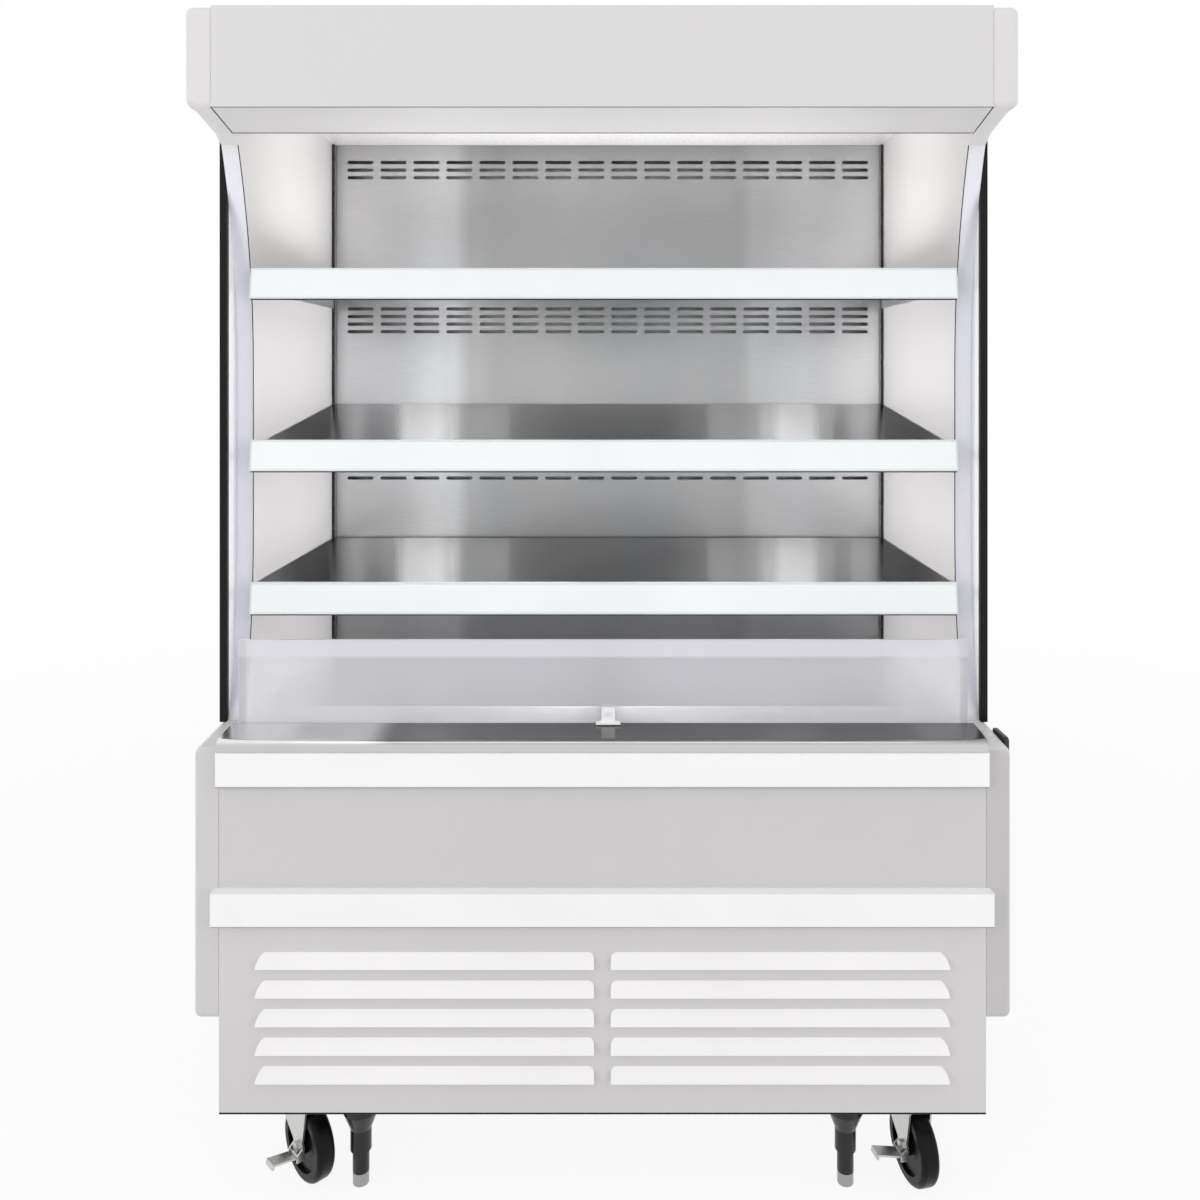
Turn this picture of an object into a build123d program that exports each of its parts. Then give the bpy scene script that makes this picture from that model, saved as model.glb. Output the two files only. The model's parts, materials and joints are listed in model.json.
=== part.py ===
from build123d import *
import os
from math import cos, radians, sin

# Open multideck display fridge, in millimetres.
# +X is to the shopper's right, +Y is to the back and +Z is up.
# The origin is on the floor, under the middle of the cabinet.

# Whole cabinet
width = 1219.0
depth = 750.0
height = 1791.0
ground_clearance = 154.0
seam = 0.5  # gap left between neighbouring fixed pieces
sheet = 1.5  # painted and stainless sheet

# End panels: an inner liner with a curved front edge, and an outer skin with a straight one
liner_thickness = 26.0
skin_thickness = 12.0
end_bottom = 292.0
end_corner = 12.0
end_round = 10.0
canopy_height = 148.0
panel_setback = 32.0  # front panel behind the canopy face
glass_setback = 133.0  # front edge of the end glass behind the canopy face
glass_width = 52.0
trim_depth = 10.0
trim_edge = 2.0
curve_setback = 179.0  # deepest part of the liner's curved edge
curve_top_setback = 111.0
curve_foot_setback = 139.0
curve_top_drop = 178.0
curve_flat_top = 1270.0
curve_flat_foot = 1000.0

# Canopy and roof
roof_thickness = 36.0
ceiling_drop = 52.0
soffit_depth = 86.0
soffit_fall = 17.0
lip_height = 100.0
flange = 18.0
lamp_diameter = 26.0
lamp_end_gap = 11.5
lamp_drop = 79.0
lamp_inset = 27.0
lamp_holder = 20.0
lamp_holder_height = 40.0
honeycomb_depth = 60.0
honeycomb_height = 14.0
honeycomb_cells = 46
honeycomb_wall = 3.0

# Back of the display space
rear_wall_thickness = 50.0
duct_depth = 50.5
upright_width = 6.0
upright_depth = 28.0
upright_stand = 11.0
upright_slot = 14.0
upright_slot_pitch = 50.0
slot_length = 54.0
slot_height = 7.0
slot_end_gap = 23.0
slot_columns = 16
slot_pitch_z = 15.8
slot_groups = ((1687.5, 3), (1375.0, 4), (1070.5, 4), (800.0, 3))  # (middle height, rows)

# Shelves: (height of the surface at the back, tilt in degrees, top of the price rail)
shelf_places = ((1445.0, 4.0, 1426.0), (1201.0, 7.5, 1150.0), (924.0, 1.0, 921.0))
shelf_front_setback = 160.5
shelf_side_gap = 7.0
shelf_turn_down = 25.0
rail_height = 50.0
rail_lean = 7.0
rail_thickness = 5.0
rail_end_gap = 6.0
bracket_thickness = 3.0
bracket_back_height = 46.0
bracket_front_height = 22.0
bracket_drop = 3.0

# Deck, return grille and front rail
deck_height = 705.0
grille_depth = 114.0
grille_thickness = 4.0
grille_slot_gap = 7.3  # steel left between neighbouring slots
grille_slot_width = 5.0
grille_columns = 11
grille_rows = 7
guard_setback = 87.0
guard_height = 139.0
guard_thickness = 5.0
guard_end_gap = 9.5
guard_seat = 1.0
guard_corner = 2.0
post_width = 11.0
post_thickness = 5.0
clip_width = 20.0
clip_height = 37.0
clip_offset = 8.0
rail_rise = 12.0
rail_nose_rise = 6.0
rail_body = 13.0
nose_radius = 10.0

# Front of the lower cabinet
bumper_upper_depth = 12.0
bumper_upper_height = 52.0
bumper_upper_drop = 11.0
bumper_upper_overhang = 1.5
bumper_lower_depth = 21.5
bumper_lower_height = 49.0
bumper_lower_top = 489.0
bumper_lower_overhang = 5.5
bumper_edge = 3.0
front_panel_foot = 465.0
louvre_rows = 5
louvre_pitch = 42.4
louvre_height = 21.2
louvre_end_gap = 57.0
louvre_gap = 25.0
louvre_bulge = 10.0
louvre_top_drop = 82.1
louvre_arc = 11.2
louvre_inner_round = 9.0

# Insulated tub and base
tub_thickness = 40.0
tub_floor = 430.0
base_plate = 3.0
base_rail = 40.0
cover_inset = 5.5
vent_rows = 8
vent_columns = 6
vent_length = 110.0
vent_pitch = 20.0
vent_gap = 18.0
vent_shift = -100.0

# Refrigeration
fan_end_gap = 291.5  # from the end panel to the axis of an evaporator fan
fan_lift = 115.0
evaporator_fan_radius = 72.0
fan_clearance = 6.0
fan_blades = 5
fan_plate_gap = 70.0
coil_back_gap = 75.0
coil_depth = 120.0
coil_end_gap = 71.5
coil_height = 180.0
fin_pitch = 25.0
fin_gap = 9.0
tube_radius = 5.0
tube_pitch = 40.0
condenser_end_gap = 51.5
condenser_lift = 143.0
condenser_width = 400.0
condenser_height = 255.0
condenser_depth = 50.0
condenser_setback = 22.0
condenser_fan_radius = 111.0
shroud_gap = 71.0
motor_radius = 28.0
motor_length = 48.0
motor_standoff = 8.0
motor_neck = 11.7
motor_bar = 14.0
shaft_radius = 4.0
running_gap = 0.08
hub_radius = 18.0
hub_length = 20.0
hub_standoff = 4.0
blade_pitch = 28.0
compressor_end_gap = 391.5
compressor_setback = 303.0
compressor_radius = 82.0
compressor_height = 185.0
compressor_round = 32.8
foot_overhang = 24.6
foot_inset = 16.4
mount_radius = 12.0
mount_height = 9.0
mount_spread = (180.4, 98.4)
terminal_depth = 32.8
terminal_height = 57.4
terminal_width = 36.0
pan_size = (270.0, 160.0, 45.0)
pan_end_gap = 36.5
pan_back_gap = 85.0
pan_wall = 2.0
box_size = (170.0, 80.0, 170.0)
box_end_gap = 46.5
box_setback = 33.0
box_lift = 60.0
box_round = 6.0
inlet_end_gap = 121.5
inlet_lift = 83.0
inlet_size = 34.0
inlet_length = 24.0
inlet_flange = 52.0
inlet_bore = 8.0
line_radius = 6.0
line_bend = 12.0
line_drop = 36.0
line_gap = 24.0
line_spacing = 30.0

# Casters and levelling legs
caster_end_gap = 93.5
caster_setback = 98.0
caster_back_gap = 85.0
caster_yaws = (-45.0, -77.0)  # where the left and right wheels trail, from +X
caster_trail = 26.0
wheel_radius = 57.0
wheel_width = 30.0
wheel_round = 8.0
hub_recess = 5.0
axle_radius = 5.0
fork_gap = 1.5
fork_sheet = 3.0
fork_crown = 119.0
fork_brow = 12.0  # how far the fork's top reaches in front of its race
fork_knee = 94.0
race_radius = 23.0
race_split = 130.0
plate_size = (104.0, 84.0, 4.0)
pin_radius = 8.0
body_gap = 0.4
ear_reach = 9.0
pedal_width = 22.0
pedal_reach = 42.0
pedal_height = 51.0
pedal_tilt = 12.0
brake_pin = 2.0
knuckle_radius = 3.6
leg_caster_gap = 103.0
leg_setback = 63.0
bell_radius = 27.5
bell_foot = 90.0
barrel_radius = 16.25
barrel_foot = 57.0
sleeve_radius = 12.75
sleeve_foot = 23.5
foot_radius = 12.5
foot_clear = 4.0
foot_edge = 1.0
stud_gap = 12.0
stud_radius = 6.0

# Switch on the right end panel
switch_setback = 54.5
switch_drop = 18.0
switch_corner = 7.0
switch_edge = 3.5
switch_size = (7.5, 53.0, 32.0)
rocker_size = (6.0, 24.0, 16.0)
rocker_proud = 2.0
rocker_tilt = 6.0
rocker_pin = 1.2
rocker_pin_length = 1.5

# Planes and heights worked out from the sizes above
front = -depth / 2
back = depth / 2
inner_x = width / 2 - liner_thickness - skin_thickness
liner_x = width / 2 - skin_thickness
fit_x = inner_x - seam
panel_y = front + panel_setback
glass_y = front + glass_setback
canopy_bottom = height - canopy_height
ceiling = height - ceiling_drop
lip_y = front + soffit_depth
wall_y = back - rear_wall_thickness
liner_y = wall_y - duct_depth
upright_y = liner_y - upright_stand
shelf_front_y = front + shelf_front_setback
guard_y = front + guard_setback
grille_y = guard_y + guard_thickness + post_thickness
deck_y = grille_y + grille_depth
end_shoulder = deck_height - 2.0
end_nose = deck_height - 9.0
bumper_top = deck_height - bumper_upper_drop
base_top = ground_clearance + base_plate
tub_inside = tub_floor + tub_thickness
fan_x = inner_x - fan_end_gap
fan_height = tub_inside + fan_lift
coil_y = wall_y - coil_back_gap - coil_depth
fan_plate_y = coil_y - fan_plate_gap
condenser_x = condenser_end_gap + condenser_width / 2 - inner_x
condenser_y = panel_y + condenser_setback
condenser_z = base_top + condenser_lift
shroud_y = condenser_y + condenser_depth + shroud_gap
compressor_x = inner_x - compressor_end_gap
compressor_y = panel_y + compressor_setback
inlet_place = (inner_x - inlet_end_gap, base_top + inlet_lift)
caster_x = inner_x - caster_end_gap
caster_front_y = panel_y + caster_setback
caster_back_y = back - caster_back_gap
leg_x = caster_x - leg_caster_gap
leg_y = panel_y + leg_setback
switch_y = panel_y + switch_setback
switch_z = deck_height - switch_drop


def save(builder, name):
    """Labels a finished piece and writes it under its own name."""
    builder.part.label = name
    export_step(builder.part, f"parts/{name}.step")


def block(x, y, z, mode=Mode.ADD):
    """A box between two corners, each side given as (low, high)."""
    middle = ((x[0] + x[1]) / 2, (y[0] + y[1]) / 2, (z[0] + z[1]) / 2)
    with Locations(middle):
        Box(x[1] - x[0], y[1] - y[0], z[1] - z[0], mode=mode)


def outline(points, plane):
    """A flat face through the points, on the given plane."""
    with BuildSketch(plane) as sketch:
        with BuildLine():
            Polyline(*points, close=True)
        make_face()
    return sketch.sketch


def across(half_width):
    """The plane at the left end of a piece that runs from side to side."""
    return Plane.YZ.offset(-half_width)


def front_corners(sketch):
    """The corners of an end panel's outline on the canopy face and the lower front."""
    faces = (front, panel_y)
    return sketch.vertices().filter_by(lambda corner: any(abs(corner.X - y) < seam / 2 for y in faces))


def liner_outline(plane):
    """The inner liner of an end panel, seen from the side."""
    curve_y = front + curve_setback
    top = (front + curve_top_setback, height - curve_top_drop)
    foot = (front + curve_foot_setback, deck_height)
    with BuildSketch(plane) as sketch:
        with BuildLine():
            Polyline(foot, (panel_y, end_nose), (panel_y, end_bottom), (back, end_bottom))
            Polyline((back, end_bottom), (back, height), (front, height), (front, canopy_bottom))
            Polyline((front, canopy_bottom), (lip_y, canopy_bottom - soffit_fall), top)
            TangentArc((curve_y, curve_flat_top), top, tangent=(0, 1))
            Line((curve_y, curve_flat_top), (curve_y, curve_flat_foot))
            TangentArc((curve_y, curve_flat_foot), foot, tangent=(0, -1))
        make_face()
        fillet(front_corners(sketch), end_corner)
    return sketch.sketch


def skin_outline(plane):
    """The outer skin of an end panel, cut back behind the end glass."""
    notch_y = glass_y + trim_depth + glass_width
    with BuildSketch(plane) as sketch:
        with BuildLine():
            Polyline(
                (notch_y, end_shoulder),
                (glass_y, end_shoulder),
                (panel_y, end_nose),
                (panel_y, end_bottom),
                (back, end_bottom),
                (back, height),
                (front, height),
                (front, canopy_bottom),
                (notch_y, canopy_bottom),
                close=True,
            )
        make_face()
        fillet(front_corners(sketch), end_corner)
    return sketch.sketch


def make_end_panel(name, side):
    """Insulated end panel: liner inside, skin outside, with rounded outer edges."""
    with BuildPart() as panel:
        extrude(liner_outline(Plane.YZ.offset(inner_x)), amount=liner_thickness)
        extrude(skin_outline(Plane.YZ.offset(liner_x)), amount=skin_thickness)
        outer = panel.faces().sort_by(Axis.X)[-1]
        edges = outer.edges().filter_by(lambda edge: edge.center().Y < glass_y or edge.center().Z < end_shoulder)
        fillet(edges + outer.edges().sort_by(Axis.Z)[-1:] + outer.edges().sort_by(Axis.Y)[-1:], end_round)
        if side < 0:
            mirror(about=Plane.YZ, mode=Mode.REPLACE)
    save(panel, name)


def make_end_glass():
    """The two clear panes that stand in the notches of the end panels."""
    y = (glass_y + trim_depth + seam, glass_y + trim_depth + glass_width - seam)
    z = (end_shoulder + seam, canopy_bottom - seam)
    with BuildPart() as glass:
        block((liner_x + seam, width / 2 - seam), y, z)
        mirror(about=Plane.YZ)
    save(glass, "end_glass")


def make_edge_trims():
    """Black upright trims along the front edges of the two end panes."""
    y = (glass_y, glass_y + trim_depth)
    z = (end_shoulder + seam, canopy_bottom - seam)
    with BuildPart() as trims:
        block((liner_x + seam, width / 2), y, z)
        fillet(trims.edges().filter_by(Axis.Z).group_by(Axis.Y)[0], trim_edge)
        mirror(about=Plane.YZ)
    save(trims, "edge_trims")


def make_shell():
    """Insulated rear wall, insulated roof and the painted canopy sheets."""
    with BuildPart() as rear_wall:
        block((-fit_x, fit_x), (wall_y, back), (tub_floor, height))
    save(rear_wall, "rear_wall")

    with BuildPart() as roof_panel:
        block((-fit_x, fit_x), (front + sheet, wall_y - seam), (height - roof_thickness, height))
    save(roof_panel, "roof_panel")

    turn_in = canopy_bottom + sheet * 2 + seam
    with BuildPart() as canopy_fascia:
        block((-fit_x, fit_x), (front, front + sheet), (canopy_bottom, height))
        block((-fit_x, fit_x), (front, front + flange), (turn_in, turn_in + sheet))
    save(canopy_fascia, "canopy_fascia")

    lip_foot = canopy_bottom - soffit_fall
    nose_y = front + sheet + seam
    with BuildPart() as canopy_soffit:
        section = outline(
            (
                (nose_y, canopy_bottom),
                (lip_y, lip_foot),
                (lip_y, lip_foot + lip_height),
                (lip_y - sheet, lip_foot + lip_height),
                (lip_y - sheet, lip_foot + sheet),
                (nose_y, canopy_bottom + sheet),
            ),
            across(fit_x),
        )
        extrude(section, amount=2 * fit_x)
    save(canopy_soffit, "canopy_soffit")


def make_canopy_inside():
    """Lamp, ceiling and the honeycomb that straightens the air curtain."""
    lamp_y = lip_y + lamp_inset
    lamp_z = height - lamp_drop
    holder_x = inner_x - lamp_end_gap - lamp_holder
    holder_z = (lamp_z - lamp_holder_height / 2, lamp_z + lamp_holder_height / 2)
    with BuildPart() as canopy_lamp:
        with Locations((0, lamp_y, lamp_z)):
            Cylinder(lamp_diameter / 2, 2 * holder_x, rotation=(0, 90, 0))
        block((holder_x, holder_x + lamp_holder), (lip_y, lamp_y + lamp_diameter / 2), holder_z)
        block((-holder_x - lamp_holder, -holder_x), (lip_y, lamp_y + lamp_diameter / 2), holder_z)
    save(canopy_lamp, "canopy_lamp")

    comb_back = lip_y + lamp_inset + lamp_diameter / 2 + seam + honeycomb_depth
    comb_pitch = 2 * fit_x / honeycomb_cells
    cell = (comb_pitch - honeycomb_wall, honeycomb_depth / 2 - 2 * honeycomb_wall)
    with BuildPart() as air_honeycomb:
        comb_middle = (0, comb_back - honeycomb_depth / 2, ceiling)
        with Locations(comb_middle):
            Box(2 * fit_x, honeycomb_depth, honeycomb_height)
        with Locations(comb_middle):
            with GridLocations(comb_pitch, honeycomb_depth / 2, honeycomb_cells, 2):
                Box(cell[0], cell[1], honeycomb_height, mode=Mode.SUBTRACT)
    save(air_honeycomb, "air_honeycomb")

    with BuildPart() as ceiling_panel:
        block((-fit_x, fit_x), (comb_back + seam, liner_y), (ceiling, ceiling + sheet))
        lip = (comb_back + seam, comb_back + seam + sheet)
        block((-fit_x, fit_x), lip, (ceiling, height - roof_thickness))
    save(ceiling_panel, "ceiling_panel")


def make_back_panel():
    """Stainless inner back with rows of air slots above each shelf."""
    half = inner_x - shelf_side_gap
    slot_pitch_x = (2 * (half - slot_end_gap) - slot_length) / (slot_columns - 1)
    with BuildPart() as back_panel:
        block((-half, half), (liner_y, liner_y + sheet), (deck_height + seam, ceiling - seam))
        for middle, rows in slot_groups:
            with BuildSketch(Plane.XZ.offset(-liner_y)):
                with Locations((0, middle)):
                    with GridLocations(slot_pitch_x, slot_pitch_z, slot_columns, rows):
                        SlotOverall(slot_length, slot_height)
            extrude(amount=-2 * sheet, mode=Mode.SUBTRACT)
    save(back_panel, "back_panel")


def make_uprights():
    """Slotted uprights in the back corners that carry the shelf brackets."""
    x = (fit_x - upright_width, fit_x)
    y = (upright_y, upright_y + upright_depth)
    z = (deck_height + seam, ceiling - seam)
    count = int((z[1] - z[0]) / upright_slot_pitch)
    with BuildPart() as shelf_uprights:
        block(x, y, z)
        with Locations((fit_x - upright_width / 2, upright_y, (z[0] + z[1]) / 2)):
            for step in range(count):
                with Locations((0, 0, (step - (count - 1) / 2) * upright_slot_pitch)):
                    Box(upright_width / 3, upright_depth / 2, upright_slot, mode=Mode.SUBTRACT)
        mirror(about=Plane.YZ)
    save(shelf_uprights, "shelf_uprights")


def shelf_plane(surface, tilt):
    """Plane of a shelf's surface; its origin is at the back edge and +y climbs to the back."""
    lean = radians(tilt)
    origin = (0, upright_y - seam, surface)
    return Plane(origin=origin, x_dir=(1, 0, 0), z_dir=(0, -sin(lean), cos(lean)))


def make_shelves():
    """Three tilted pans, each with a clip-on price rail along its front."""
    half = inner_x - shelf_side_gap
    for number, (surface, tilt, rail_top) in enumerate(shelf_places, start=1):
        reach = (upright_y - seam - shelf_front_y) / cos(radians(tilt))
        with BuildPart(shelf_plane(surface, tilt)) as shelf:
            block((-half, half), (-reach, 0), (-shelf_turn_down, 0))
            inside = (-reach + sheet, -sheet)
            under = (-shelf_turn_down, -sheet)
            block((-half + sheet, half - sheet), inside, under, Mode.SUBTRACT)
        save(shelf, f"shelf_{number}")

        rail_back = shelf_front_y - seam
        half_rail = inner_x - rail_end_gap
        with BuildPart() as price_rail:
            section = outline(
                (
                    (rail_back, rail_top),
                    (rail_back - rail_thickness, rail_top),
                    (rail_back - rail_thickness - rail_lean, rail_top - rail_height),
                    (rail_back - rail_lean, rail_top - rail_height),
                    (rail_back, rail_top - shelf_turn_down),
                ),
                across(half_rail),
            )
            extrude(section, amount=2 * half_rail)
        save(price_rail, f"price_rail_{number}")


def make_brackets():
    """Pairs of steel brackets beside the shelves, hooked to the uprights."""
    x_low = fit_x - upright_width / 2 - bracket_thickness / 2
    with BuildPart() as shelf_brackets:
        for surface, tilt, _ in shelf_places:
            reach = (upright_y - seam - shelf_front_y) / cos(radians(tilt))
            plane = shelf_plane(surface, tilt)
            side = Plane(origin=plane.origin + Vector(x_low, 0, 0), x_dir=plane.y_dir, z_dir=(1, 0, 0))
            heel = sin(radians(tilt)) / cos(radians(tilt))
            section = outline(
                (
                    (-bracket_drop * heel, -bracket_drop),
                    (-bracket_back_height * heel, -bracket_back_height),
                    (-reach + flange, -bracket_front_height),
                    (-reach + flange, -bracket_drop),
                ),
                side,
            )
            extrude(section, amount=bracket_thickness)
        mirror(about=Plane.YZ)
    save(shelf_brackets, "shelf_brackets")


def make_deck():
    """Stainless bottom deck and the white return-air grille in front of it."""
    with BuildPart() as deck_pan:
        y = (deck_y + seam, liner_y - seam)
        block((-fit_x, fit_x), y, (deck_height - shelf_turn_down, deck_height))
        inside = (y[0] + sheet, y[1] - sheet)
        under = (deck_height - shelf_turn_down, deck_height - sheet)
        block((-fit_x + sheet, fit_x - sheet), inside, under, Mode.SUBTRACT)
    save(deck_pan, "deck_pan")

    with BuildPart() as return_grille:
        block((-fit_x, fit_x), (guard_y, deck_y), (deck_height - grille_thickness, deck_height))
        turned = (bumper_top + seam - rail_body, deck_height)
        block((-fit_x, fit_x), (guard_y, guard_y + sheet), turned)
        with BuildSketch(Plane.XY.offset(deck_height)):
            with Locations((0, (grille_y + deck_y) / 2)):
                pitch = (2 * fit_x / (grille_columns + 0.5), grille_depth / (grille_rows + 1))
                with GridLocations(pitch[0], pitch[1], grille_columns, grille_rows):
                    SlotOverall(pitch[0] - grille_slot_gap, grille_slot_width)
        extrude(amount=-grille_thickness, mode=Mode.SUBTRACT)
    save(return_grille, "return_grille")


def make_guard():
    """Clear front guard with its end posts and middle clip."""
    foot = deck_height + guard_seat
    half = inner_x - guard_end_gap
    with BuildPart() as front_guard:
        block((-half, half), (guard_y, guard_y + guard_thickness), (foot, foot + guard_height))
        fillet(front_guard.edges().filter_by(Axis.Y), guard_corner)
    save(front_guard, "front_guard")

    behind = (guard_y + guard_thickness, guard_y + guard_thickness + post_thickness)
    with BuildPart() as guard_holders:
        for low in (-half, half - post_width):
            block((low, low + post_width), behind, (foot - guard_seat, foot + guard_height))
        clip = (clip_offset - clip_width / 2, clip_offset + clip_width / 2)
        block(clip, behind, (foot - guard_seat, foot + clip_height))
    save(guard_holders, "guard_holders")


def make_front():
    """Front rail, bumpers, painted front panel and pressed louvre panel."""
    rail_foot = bumper_top + seam
    rail_back = guard_y - seam
    nose_y = panel_y - bumper_upper_depth
    with BuildPart() as top_rail:
        with BuildSketch(across(fit_x)) as section:
            with BuildLine():
                Polyline(
                    (rail_back, rail_foot - rail_body),
                    (rail_back, deck_height + rail_rise),
                    (nose_y, deck_height + rail_nose_rise),
                    (nose_y, rail_foot),
                    (panel_y + sheet + seam, rail_foot),
                    (panel_y + sheet + seam, rail_foot - rail_body),
                    close=True,
                )
            make_face()
            nose = section.vertices().group_by(Axis.X)[0].sort_by(Axis.Y)[-1:]
            fillet(nose, nose_radius)
        extrude(amount=2 * fit_x)
    save(top_rail, "top_rail")

    with BuildPart() as bumper_upper:
        x = inner_x + bumper_upper_overhang
        z = (bumper_top - bumper_upper_height, bumper_top)
        block((-x, x), (panel_y - bumper_upper_depth, panel_y), z)
        fillet(bumper_upper.faces().sort_by(Axis.Y)[0].edges(), bumper_edge)
    save(bumper_upper, "bumper_upper")

    with BuildPart() as bumper_lower:
        x = inner_x + bumper_lower_overhang
        z = (bumper_lower_top - bumper_lower_height, bumper_lower_top)
        block((-x, x), (panel_y - bumper_lower_depth, panel_y), z)
        fillet(bumper_lower.faces().sort_by(Axis.Y)[0].edges(), bumper_edge)
    save(bumper_lower, "bumper_lower")

    with BuildPart() as front_panel:
        block((-fit_x, fit_x), (panel_y, panel_y + sheet), (front_panel_foot, bumper_top))
        block((-fit_x, fit_x), (panel_y, panel_y + flange), (front_panel_foot, front_panel_foot + sheet))
    save(front_panel, "front_panel")


def louvre_face(middle_x, middle_z, length, side, plane):
    """Front view of one louvre: rounded inner shoulder, swept outer end."""
    low = middle_z - louvre_height / 2
    high = middle_z + louvre_height / 2
    inner = middle_x - side * length / 2
    outer = middle_x + side * length / 2
    shoulder = (inner, high - louvre_inner_round)
    inner_top = (inner + side * louvre_inner_round, high)
    outer_top = (outer - side * louvre_arc, high)
    with BuildSketch(plane) as sketch:
        with BuildLine():
            Polyline((outer, low), (inner, low), shoulder)
            TangentArc(shoulder, inner_top, tangent=(0, 1))
            Line(inner_top, outer_top)
            TangentArc((outer, low), outer_top, tangent=(0, 1))
        make_face()
    return sketch.sketch


def hood_outline(middle_z, inset):
    """Side view of one louvre: flush along its top, standing out along its foot."""
    high = middle_z + louvre_height / 2
    low = middle_z - louvre_height / 2
    return outline(
        (
            (panel_y + sheet, high),
            (panel_y, high - inset),
            (panel_y - louvre_bulge + inset, low),
            (panel_y + sheet, low),
        ),
        across(fit_x),
    )


def make_louvre_panel():
    """Lower front panel with two columns of pressed louvres, each open along its foot."""
    foot = ground_clearance + seam
    top = front_panel_foot - seam
    face_plane = Plane.XZ.offset(-(panel_y + sheet))
    length = inner_x - louvre_end_gap - louvre_gap / 2
    with BuildPart() as louvre_panel:
        block((-fit_x, fit_x), (panel_y, panel_y + sheet), (foot, top))
        for row in range(louvre_rows):
            middle_z = front_panel_foot - louvre_top_drop - row * louvre_pitch
            with BuildPart(mode=Mode.PRIVATE) as hood:
                extrude(hood_outline(middle_z, 0), amount=2 * fit_x)
            with BuildPart(mode=Mode.PRIVATE) as hollow:
                extrude(hood_outline(middle_z, sheet), amount=2 * fit_x)
            for side in (-1, 1):
                middle_x = side * (louvre_gap + length) / 2
                face = louvre_face(middle_x, middle_z, length, side, face_plane)
                prism = extrude(face, amount=louvre_bulge + 2 * sheet, mode=Mode.PRIVATE)
                core = extrude(
                    offset(face, amount=-sheet, mode=Mode.PRIVATE),
                    amount=louvre_bulge + 2 * sheet,
                    mode=Mode.PRIVATE,
                )
                add(hood.part & prism)
                add(hollow.part & core, mode=Mode.SUBTRACT)
    save(louvre_panel, "louvre_panel")


def make_base():
    """Base frame, vented rear cover and the insulated tub above the machinery."""
    y = (panel_y + sheet + seam, back)
    with BuildPart() as base_frame:
        block((-inner_x, inner_x), y, (ground_clearance, base_top))
        rise = (base_top + seam, tub_floor - seam)
        block((inner_x - base_plate, inner_x), y, rise)
        block((-inner_x, -inner_x + base_plate), y, rise)
        rail_x = inner_x - base_plate - seam
        rail_z = (base_top + seam, base_top + base_rail)
        block((-rail_x, rail_x), (y[0], y[0] + base_plate), rail_z)
        block((-rail_x, rail_x), (y[1] - base_plate, y[1]), rail_z)
    save(base_frame, "base_frame")

    cover_y = (back - cover_inset - sheet, back - cover_inset)
    cover_x = inner_x - base_plate - seam
    with BuildPart() as rear_cover:
        block((-cover_x, cover_x), cover_y, (base_top + seam, tub_floor - seam))
        with BuildSketch(Plane.XZ.offset(-cover_y[1])):
            with Locations((vent_shift, (base_top + base_rail + tub_floor) / 2)):
                with GridLocations(vent_length + vent_gap, vent_pitch, vent_columns, vent_rows):
                    SlotOverall(vent_length, slot_height)
        extrude(amount=2 * sheet, mode=Mode.SUBTRACT)
        with Locations((inlet_place[0], cover_y[0], inlet_place[1])):
            hole = (inlet_size + 2 * seam, 4 * sheet, inlet_size + 2 * seam)
            Box(*hole, mode=Mode.SUBTRACT)
    save(rear_cover, "rear_cover")

    front_wall = (panel_y + flange + seam, panel_y + flange + seam + tub_thickness)
    with BuildPart() as insulated_tub:
        block((-fit_x, fit_x), (front_wall[0], wall_y - seam), (tub_floor, tub_inside))
        wall_top = bumper_top - rail_body
        block((-fit_x, fit_x), front_wall, (tub_inside + seam, wall_top))
    save(insulated_tub, "insulated_tub")


def fan_wheel(name, x, y, z, radius):
    """Axial fan wheel whose hub runs on a motor shaft along Y; y is its front face."""
    reach = radius - hub_radius / 2
    chord = hub_length / sin(radians(blade_pitch))
    with BuildPart(Plane(origin=(x, y + hub_length / 2, z), x_dir=(1, 0, 0), z_dir=(0, 1, 0))) as fan:
        Cylinder(hub_radius, hub_length)
        with PolarLocations(hub_radius / 2 + reach / 2, fan_blades):
            Box(reach, chord, sheet, rotation=(blade_pitch, 0, 0))
        Cylinder(radius, 2 * radius, mode=Mode.INTERSECT)
        Cylinder(shaft_radius + running_gap, 2 * radius, mode=Mode.SUBTRACT)
    save(fan, name)


def motor(x, plate_back, z, span):
    """Fan motor on a bar across the hole in its plate, with its shaft to the front."""
    block((x - span, x + span), (plate_back, plate_back + base_plate), (z - motor_bar / 2, z + motor_bar / 2))
    neck = plate_back + base_plate
    with Locations((x, neck + motor_standoff / 2, z)):
        Cylinder(motor_neck, motor_standoff, rotation=(90, 0, 0))
    with Locations((x, neck + motor_standoff + motor_length / 2, z)):
        Cylinder(motor_radius, motor_length, rotation=(90, 0, 0))
    shaft_length = 2 * sheet + base_plate + hub_standoff + hub_length
    with Locations((x, neck - shaft_length / 2, z)):
        Cylinder(shaft_radius, shaft_length, rotation=(90, 0, 0))


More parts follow.
